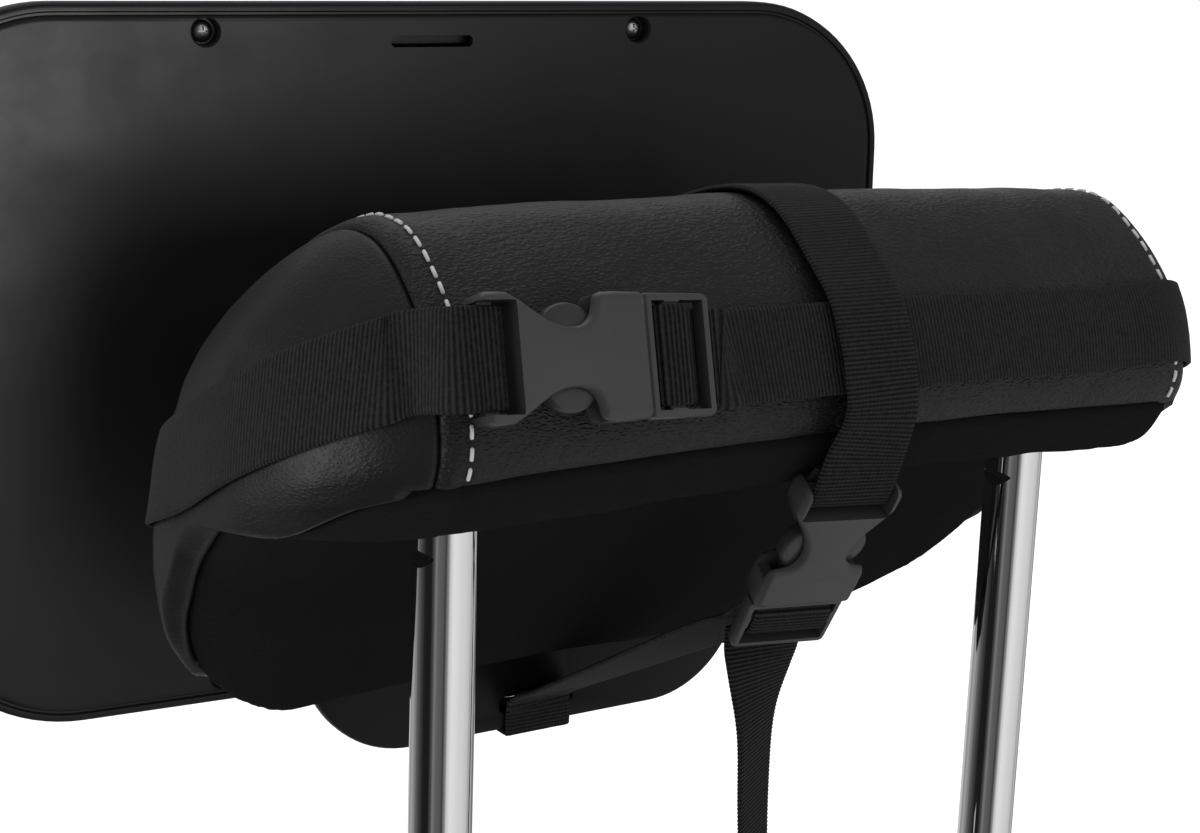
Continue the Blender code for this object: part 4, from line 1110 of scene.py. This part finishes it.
def build_base(mat):
    """The plate that the straps pull against the pad, with its neck and the cup that holds the ball."""
    low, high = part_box("base_plate")
    x, ball_y, level = middle_of("pivot_ball")
    rear = low.y / MM
    front = rear + BASE_THICKNESS
    half_width = (high.x - low.x) / 2 / MM
    half_height = (high.z - low.z) / 2 / MM
    middle = (high.z + low.z) / 2 / MM
    levels = [(rear, 1.2), (rear + 0.35, 0.35), (rear + 1.2, 0.0)]
    levels += [(front - 1.2, 0.0), (front - 0.35, 0.35), (front, 1.2)]
    rings = layered(half_width, half_height, BASE_CORNER, levels, (x, middle))
    base = stand_in("base_mount", "base_plate", rings, mat)
    neck = [(front - 1.0, NECK_RADIUS), (front, NECK_RADIUS)]
    for t in (0.15, 0.3, 0.5, 0.75, 1.0):
        neck.append((front + NECK_LENGTH * t, NECK_RADIUS - NECK_TAPER * math.sin(math.pi / 2 * t) ** 0.7))
    cup = [(ball_y - 12.5, NECK_RADIUS - NECK_TAPER), (ball_y - 9.5, CUP_RADIUS - 0.6)]
    cup += [(ball_y - 8.8, CUP_RADIUS), (ball_y + 4.0, CUP_RADIUS)]
    carve(base, [turned_cutter(neck + cup, 72, (x, 0, level), Matrix())], "UNION")
    hollow = arc((ball_y, 0.0), BALL_RADIUS + GAP, 178, 66, 16)
    hollow.append((ball_y + 6.0, hollow[-1][1]))
    cutters = [turned_cutter(hollow, 72, (x, 0, level), Matrix())]
    for centre, across, tall in base_slots(x, half_width, low.z / MM, high.z / MM):
        rings = layered(across / 2, tall / 2, 1.2, [(rear - 2, 0.0), (front + 2, 0.0)], centre)
        cutters.append(solid(*skin(rings), Matrix()))
    carve(base, cutters)
    modify(base, "BEVEL", width=0.3 * MM, segments=2, limit_method="ANGLE", angle_limit=math.radians(60))
    bake(base)
    shade(base, 35)


def base_slots(x, half_width, bottom, top):
    """(centre, width, height) of the four strap slots."""
    long = 2 * SLOT_HALF + 1.0
    middle = BASE_BAR + BASE_SLOT / 2
    side_level = PAD_LEVEL - SIDE_SLOT_BELOW_PAD
    return [
        ((x - half_width + middle, side_level), BASE_SLOT, long),
        ((x + half_width - middle, side_level), BASE_SLOT, long),
        ((x, bottom + middle), long, BASE_SLOT),
        ((x, top - middle), long, BASE_SLOT),
    ]


def build_collar(mat):
    """The ribbed ring that locks the ball."""
    centre = middle_of("pivot_ball")
    inner = CUP_RADIUS + GAP
    outer = (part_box("lock_collar")[1].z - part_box("lock_collar")[0].z) / 2 / MM
    profile = [(-8.5, inner), (4.3, inner), (4.3, 9.6), (5.6, 9.9), (6.6, 10.8), (6.6, outer - 1.8)]
    profile += [(6.2, outer - 0.9), (5.2, outer - 0.3), (-7.4, outer - 0.3), (-8.2, outer - 0.7)]
    profile += [(-8.5, outer - 1.2)]
    rings = turned(profile, 288, centre)
    for ring, (_, radius) in zip(rings, profile):
        if radius < outer - 0.5:
            continue
        for i, (px, py, pz) in enumerate(ring):
            ripple = 1 + 0.3 / radius * math.cos(2 * math.pi * i * COLLAR_RIBS / len(ring))
            ring[i] = (centre[0] + (px - centre[0]) * ripple, py, centre[2] + (pz - centre[2]) * ripple)
    stand_in("ribbed_collar", "lock_collar", rings, mat, looped=True)


def panel_place():
    """The mirror panel's matrix, found from its screws: x right, y forward from its back face, z up."""
    spots = []
    for i in range(1, 5):
        low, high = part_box(f"housing_screw_{i}")
        spots.append((low + high) / 2)
    x_axis = (spots[1] - spots[0] + spots[2] - spots[3]).normalized()
    y_axis = Vector(joints["mirror_spin"]["axis"]).normalized()
    z_axis = x_axis.cross(y_axis).normalized()
    x_axis = y_axis.cross(z_axis)
    place = Matrix((x_axis, y_axis, z_axis)).transposed().to_4x4()
    middle = (spots[0] + spots[1] + spots[2] + spots[3]) / 4
    place.translation = middle - y_axis * HOUSING_SCREW_MIDDLE * MM
    return place


def build_ball_joint(place, mat):
    """The ball, its stem and the flange screwed to the panel."""
    ball = Vector(joints["mirror_spin"]["pos_m"])
    start = (place.inverted() @ ball).y / MM
    sphere = [(y, max(0.2, radius)) for y, radius in arc((start, 0.0), BALL_RADIUS, 180, 0, 30)]
    stand_in("ball", "pivot_ball", turned(sphere, 64), mat, smooth_angle=60, place=place)
    flare = [(-8.6 + 2.4 * t, STEM_RADIUS + 2.0 * t * t) for t in (0.0, 0.35, 0.7, 1.0)]
    stem = [(start + BALL_RADIUS + GAP, STEM_RADIUS)] + flare + [(-4.3, 7.0)]
    stand_in("stem", "pivot_stem", turned(stem, 64), mat, place=place)
    rim = arc((-2.8, FLANGE_RADIUS - 1.2), 1.2, 180, 90, 6) + [(-GAP, FLANGE_RADIUS)]
    flange = stand_in("screw_flange", "mounting_flange", turned(rim, 96), mat, place=place)
    carve(flange, [turned_cutter([(-6, 1.9), (2, 1.9)], 24, spot, place) for spot in flange_screw_spots()])


def flange_screw_spots():
    """Where the flange's three screws sit, in the panel's own frame."""
    return [(x, 0.0, z) for x, z in arc((0.0, 0.0), FLANGE_SCREW_RING, 90, 330, 2)]


def housing_screw_spots():
    """Where the panel's four screws sit, in its own frame."""
    return [(x * SCREW_X, 0, z * SCREW_Z) for x, z in ((-1, 1), (1, 1), (1, -1), (-1, -1))]


def build_screw(name, node, mat, place):
    """A pan-head screw with a cross recess whose slots taper."""
    low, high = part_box(node)
    middle = place.inverted() @ ((low + high) / 2)
    reach = SCREW_LENGTHS[node.split("_")[0]]
    seat = middle.y / MM + (2.0 - reach) / 2
    x, z = middle.x / MM, middle.z / MM
    brim = seat - 0.2
    head = arc((brim, 0.0), SCREW_HEAD_RADIUS, 180, 90, 8)
    profile = [(brim + (y - brim) * 0.6, max(r, 0.3)) for y, r in head]
    profile += [(seat, SCREW_HEAD_RADIUS), (seat, SCREW_RADIUS), (seat + reach, SCREW_RADIUS)]
    screw = stand_in(name, node, turned(profile, 40, (x, 0, z)), mat, place=place)
    cutters = []
    for half_x, half_z in ((1.7, 0.35), (0.35, 1.7)):
        rings = []
        for y, grow in ((seat - 2.6, 1.0), (seat - 0.9, 0.55)):
            u, w = half_x * grow, half_z * grow
            rings.append([(x + u, y, z + w), (x - u, y, z + w), (x - u, y, z - w), (x + u, y, z - w)])
        cutters.append(solid(*skin(rings), place))
    carve(screw, cutters)


# ---------------------------------------------------------------- mirror panel

def panel_rings(levels):
    """Rings of the panel's outline; levels are (y, how far it is inset there)."""
    return layered(PANEL_SIZE[0] / 2, PANEL_SIZE[1] / 2, PANEL_CORNER, levels)


def build_back_shell(place, mat):
    """The panel's back: a softened edge, a thin groove inside it, four screw wells and a slot."""
    inside = [(SHELL_WALL + 0.2, 4.4), (SHELL_DEPTH, 4.0)]
    side = [(SHELL_DEPTH, 0.3), (SHELL_DEPTH - 0.3, 0.0), (2.4, 0.0), (1.5, 0.25), (0.9, 0.8), (0.75, 1.5)]
    groove = [(0.75, 2.3), (1.5, 2.7), (1.5, 3.3), (0.5, 3.7), (0.1, 4.2), (0.0, 5.0)]
    rings = panel_rings(inside + side + groove)
    shell = stand_in("mirror_housing", "mirror_back_shell", rings, mat, place=place)
    well = [(SHELL_WALL - 0.5, 6.0), (SHELL_DEPTH - 0.6, 6.0)]
    bore = [(-1, 4.6), (0.0, 4.1), (0.5, 3.6), (5.2, 3.5), (5.2, 1.8), (SHELL_DEPTH + 1, 1.8)]
    spots = housing_screw_spots()
    carve(shell, [turned_cutter(well, 48, spot, place) for spot in spots], "UNION")
    cutters = [turned_cutter(bore, 48, spot, place) for spot in spots]
    slot = layered(12.0, 1.6, 1.4, [(-1, 0.0), (SHELL_WALL + 1, 0.0)], (0, SLOT_Z))
    cutters.append(solid(*skin(slot), place))
    pilot = [(-1, PILOT_RADIUS), (SHELL_WALL + 1, PILOT_RADIUS)]
    cutters += [turned_cutter(pilot, 24, spot, place) for spot in flange_screw_spots()]
    carve(shell, cutters)


def build_bezel(place, mat):
    """The frame round the mirror, rounded on its front edges, with the step that holds the sheet."""
    back = SHELL_DEPTH + GAP
    front = back + BEZEL_DEPTH
    inner = BEZEL_BORDER
    outside = [(back, 0.4), (front - 1.6, 0.4), (front - 0.7, 0.8), (front - 0.1, 1.9), (front, 3.2)]
    inside = [(front, inner - 1.2), (front - 0.2, inner - 0.3), (front - 0.6, inner), (front - 1.5, inner)]
    step = [(front - 1.5, inner - SHEET_LAP), (back, inner - SHEET_LAP)]
    rings = panel_rings(outside + inside + step)
    bezel = stand_in("mirror_frame", "mirror_bezel", rings, mat, smooth_angle=35, place=place, looped=True)
    pilot = [(back - 1, PILOT_RADIUS), (front - 1.0, PILOT_RADIUS)]
    carve(bezel, [turned_cutter(pilot, 24, spot, place) for spot in housing_screw_spots()])
    inset = inner - SHEET_LAP + GAP
    glass = front - 1.5 - GAP
    levels = [(glass - SHEET_THICKNESS, inset), (glass - 0.15, inset), (glass, inset + 0.3)]
    stand_in("mirror_glass", "mirror_sheet", panel_rings(levels), mirror(), 30, place)


def finish_hidden(names, mat):
    """Gives CAD nodes that keep their own shape a procedural material."""
    for name in names:
        piece = frame["nodes"][name]
        for slot in range(len(piece.data.materials)):
            piece.data.materials[slot] = mat


# ---------------------------------------------------------------- camera and light

def direction(azimuth, elevation):
    """Unit vector that looks along an azimuth (0 is +Y, positive turns to -X) and down by an elevation."""
    a = math.radians(azimuth)
    e = math.radians(elevation)
    return Vector((-math.sin(a) * math.cos(e), math.cos(a) * math.cos(e), -math.sin(e)))


def build_camera():
    data = bpy.data.cameras.new("camera")
    data.lens = CAMERA_LENS
    data.sensor_width = 36.0
    data.clip_start = 0.01
    camera = linked("camera", data)
    forward = direction(CAMERA_AZIMUTH, CAMERA_ELEVATION)
    right = forward.cross(Vector((0, 0, 1))).normalized()
    up = right.cross(forward)
    roll = math.radians(CAMERA_ROLL)
    tilted_right = right * math.cos(roll) + up * math.sin(roll)
    tilted_up = up * math.cos(roll) - right * math.sin(roll)
    turn = Matrix((tilted_right, tilted_up, -forward)).transposed().to_4x4()
    turn.translation = Vector(CAMERA_AIM) - forward * CAMERA_DISTANCE
    camera.matrix_world = turn
    bpy.context.scene.camera = camera


def area_light(name, azimuth, elevation, distance, size, power):
    """A soft light that shines at the object from that direction."""
    data = bpy.data.lights.new(name, "AREA")
    data.shape = "RECTANGLE"
    data.size, data.size_y = size
    data.energy = power
    light = linked(name, data)
    forward = direction(azimuth, elevation)
    light.location = Vector(CAMERA_AIM) - forward * distance
    light.rotation_euler = forward.to_track_quat("-Z", "Y").to_euler()
    return light


def shine_only_on(light, names):
    """Keeps a light off every piece but the named ones, as flags on a set do."""
    receivers = bpy.data.collections.new(f"lit_by_{light.name}")
    for name in names:
        receivers.objects.link(bpy.data.objects[name])
    light.light_linking.receiver_collection = receivers


def panel_light(panel):
    """A soft light placed where the panel's upper left corner mirrors it towards the camera."""
    spot = panel @ Vector((PANEL_SIZE[0] * -0.42 * MM, 0.0, PANEL_SIZE[1] * 0.38 * MM))
    out = -(panel.to_3x3() @ Vector((0, 1, 0)))
    seen = (spot - bpy.context.scene.camera.matrix_world.translation).normalized()
    mirrored = seen - 2 * seen.dot(out) * out
    light = area_light("panel", 0, 0, 0, PANEL_LIGHT_SIZE, PANEL_LIGHT_POWER)
    light.location = spot + mirrored * PANEL_LIGHT_DISTANCE
    light.rotation_euler = (-mirrored).to_track_quat("-Z", "Y").to_euler()
    shine_only_on(light, ["mirror_housing", "mirror_frame"])


def build_world():
    """A white studio; what shiny surfaces see of it is soft boxes between dark flags."""
    world = bpy.data.worlds.new("studio")
    bpy.context.scene.world = world
    world.use_nodes = True
    tree = world.node_tree
    room = tree.nodes["Background"]
    feed(room, Color=(1.0, 1.0, 1.0, 1.0), Strength=ROOM_LIGHT)
    where = add_node(tree, "ShaderNodeTexCoord")
    split = add_node(tree, "ShaderNodeSeparateXYZ", Vector=where.outputs["Generated"])
    turn = maths(tree, "ARCTAN2", split.outputs["Y"], split.outputs["X"])
    ramp = add_node(tree, "ShaderNodeValToRGB")
    ramp.color_ramp.interpolation = "EASE"
    while len(ramp.color_ramp.elements) > 1:
        ramp.color_ramp.elements.remove(ramp.color_ramp.elements[-1])
    for i, (degrees, value) in enumerate(SOFT_BOXES):
        place = (degrees + 180.0) / 360.0
        element = ramp.color_ramp.elements[0] if i == 0 else ramp.color_ramp.elements.new(place)
        element.position = place
        element.color = (value, value, value, 1.0)
    feed(ramp, Fac=remap(tree, turn, -math.pi, math.pi, 0.0, 1.0))
    overhead = remap(tree, split.outputs["Z"], 0.35, 0.8, 0.0, 1.0)
    mix = add_node(tree, "ShaderNodeMix", data_type="RGBA")
    tree.links.new(overhead, mix.inputs[0])
    tree.links.new(ramp.outputs["Color"], mix.inputs[6])
    mix.inputs[7].default_value = (OVERHEAD, OVERHEAD, OVERHEAD, 1.0)
    boxes = add_node(tree, "ShaderNodeBackground", Color=mix.outputs[2], Strength=1.0)
    path = add_node(tree, "ShaderNodeLightPath")
    choose = add_node(tree, "ShaderNodeMixShader")
    tree.links.new(path.outputs["Is Glossy Ray"], choose.inputs[0])
    tree.links.new(room.outputs[0], choose.inputs[1])
    tree.links.new(boxes.outputs[0], choose.inputs[2])
    feed(tree.nodes["World Output"], Surface=choose.outputs[0])


def build_floor():
    bpy.ops.mesh.primitive_plane_add(size=FLOOR_SIZE, location=(0, 0, 0))
    floor = bpy.context.object
    floor.name = "floor"
    mat = new_material("floor_white", (0.96, 0.96, 0.96), 0.9, Specular_IOR_Level=0.0,
                       Emission_Color=(1.0, 1.0, 1.0, 1.0), Emission_Strength=FLOOR_GLOW)[0]
    floor.data.materials.append(mat)
    floor.visible_glossy = False


def finish_scene():
    bpy.context.scene.view_settings.view_transform = "Standard"


# ---------------------------------------------------------------- build

surface, normals, xs, leather_count = build_pad()
stitch_pad(surface, normals, xs, leather_count)
pad_tree = surface_tree(surface)
satin = plastic("buckle_plastic", (0.027, 0.027, 0.0275), 0.38, 0.00003, 0.4)
pad_plastic = plastic("prong_plastic", (0.018, 0.018, 0.0185), 0.34, 0.00002, 0.4)
moulded = plastic("moulded_plastic", (0.0035, 0.0035, 0.0037), 0.42, 0.00003, 0.15)
places = [
    build_buckle("upper", "low", "high", satin, pad_plastic),
    build_buckle("lower", "left", "right", satin, pad_plastic),
]
tape = webbing()
lay_webbing("webbing_left", "strap_left", tape, [pad_tree], places, is_upright=True)
right_tree = lay_webbing("webbing_right", "strap_right", tape, [pad_tree], places, is_upright=True,
                         sag=RIGHT_STRAP_SAG)
lay_webbing("webbing_top", "strap_top", tape, [pad_tree, right_tree], places)
lay_webbing("webbing_bottom", "strap_bottom", tape, [], places)
lay_webbing("webbing_tail", "strap_tail", tape, [], places, lead=TAIL_LEAD)
plated = chrome()
for side in ("left", "right"):
    build_post(f"chrome_post_{side}", f"post_{side}", plated)
build_base(moulded)
build_collar(moulded)
panel = panel_place()
build_ball_joint(panel, moulded)
metal = steel()
for i in range(1, 5):
    build_screw(f"panel_screw_{i}", f"housing_screw_{i}", metal, panel)
for i in range(1, 4):
    build_screw(f"mount_screw_{i}", f"flange_screw_{i}", metal, panel)
build_back_shell(panel, moulded)
build_bezel(panel, moulded)
finish_hidden(["frame_crossbar", "frame_plate"], metal)
finish_hidden(["mirror_backing"], foam())
build_camera()
build_world()
build_floor()
area_light("top", 180, 70, 1.2, (1.2, 0.8), TOP_LIGHT_POWER)
panel_light(panel)
left_light = area_light("left", -92, -5, 0.9, (0.5, 0.4), LEFT_LIGHT_POWER)
shine_only_on(left_light, LEFT_LIT)
finish_scene()
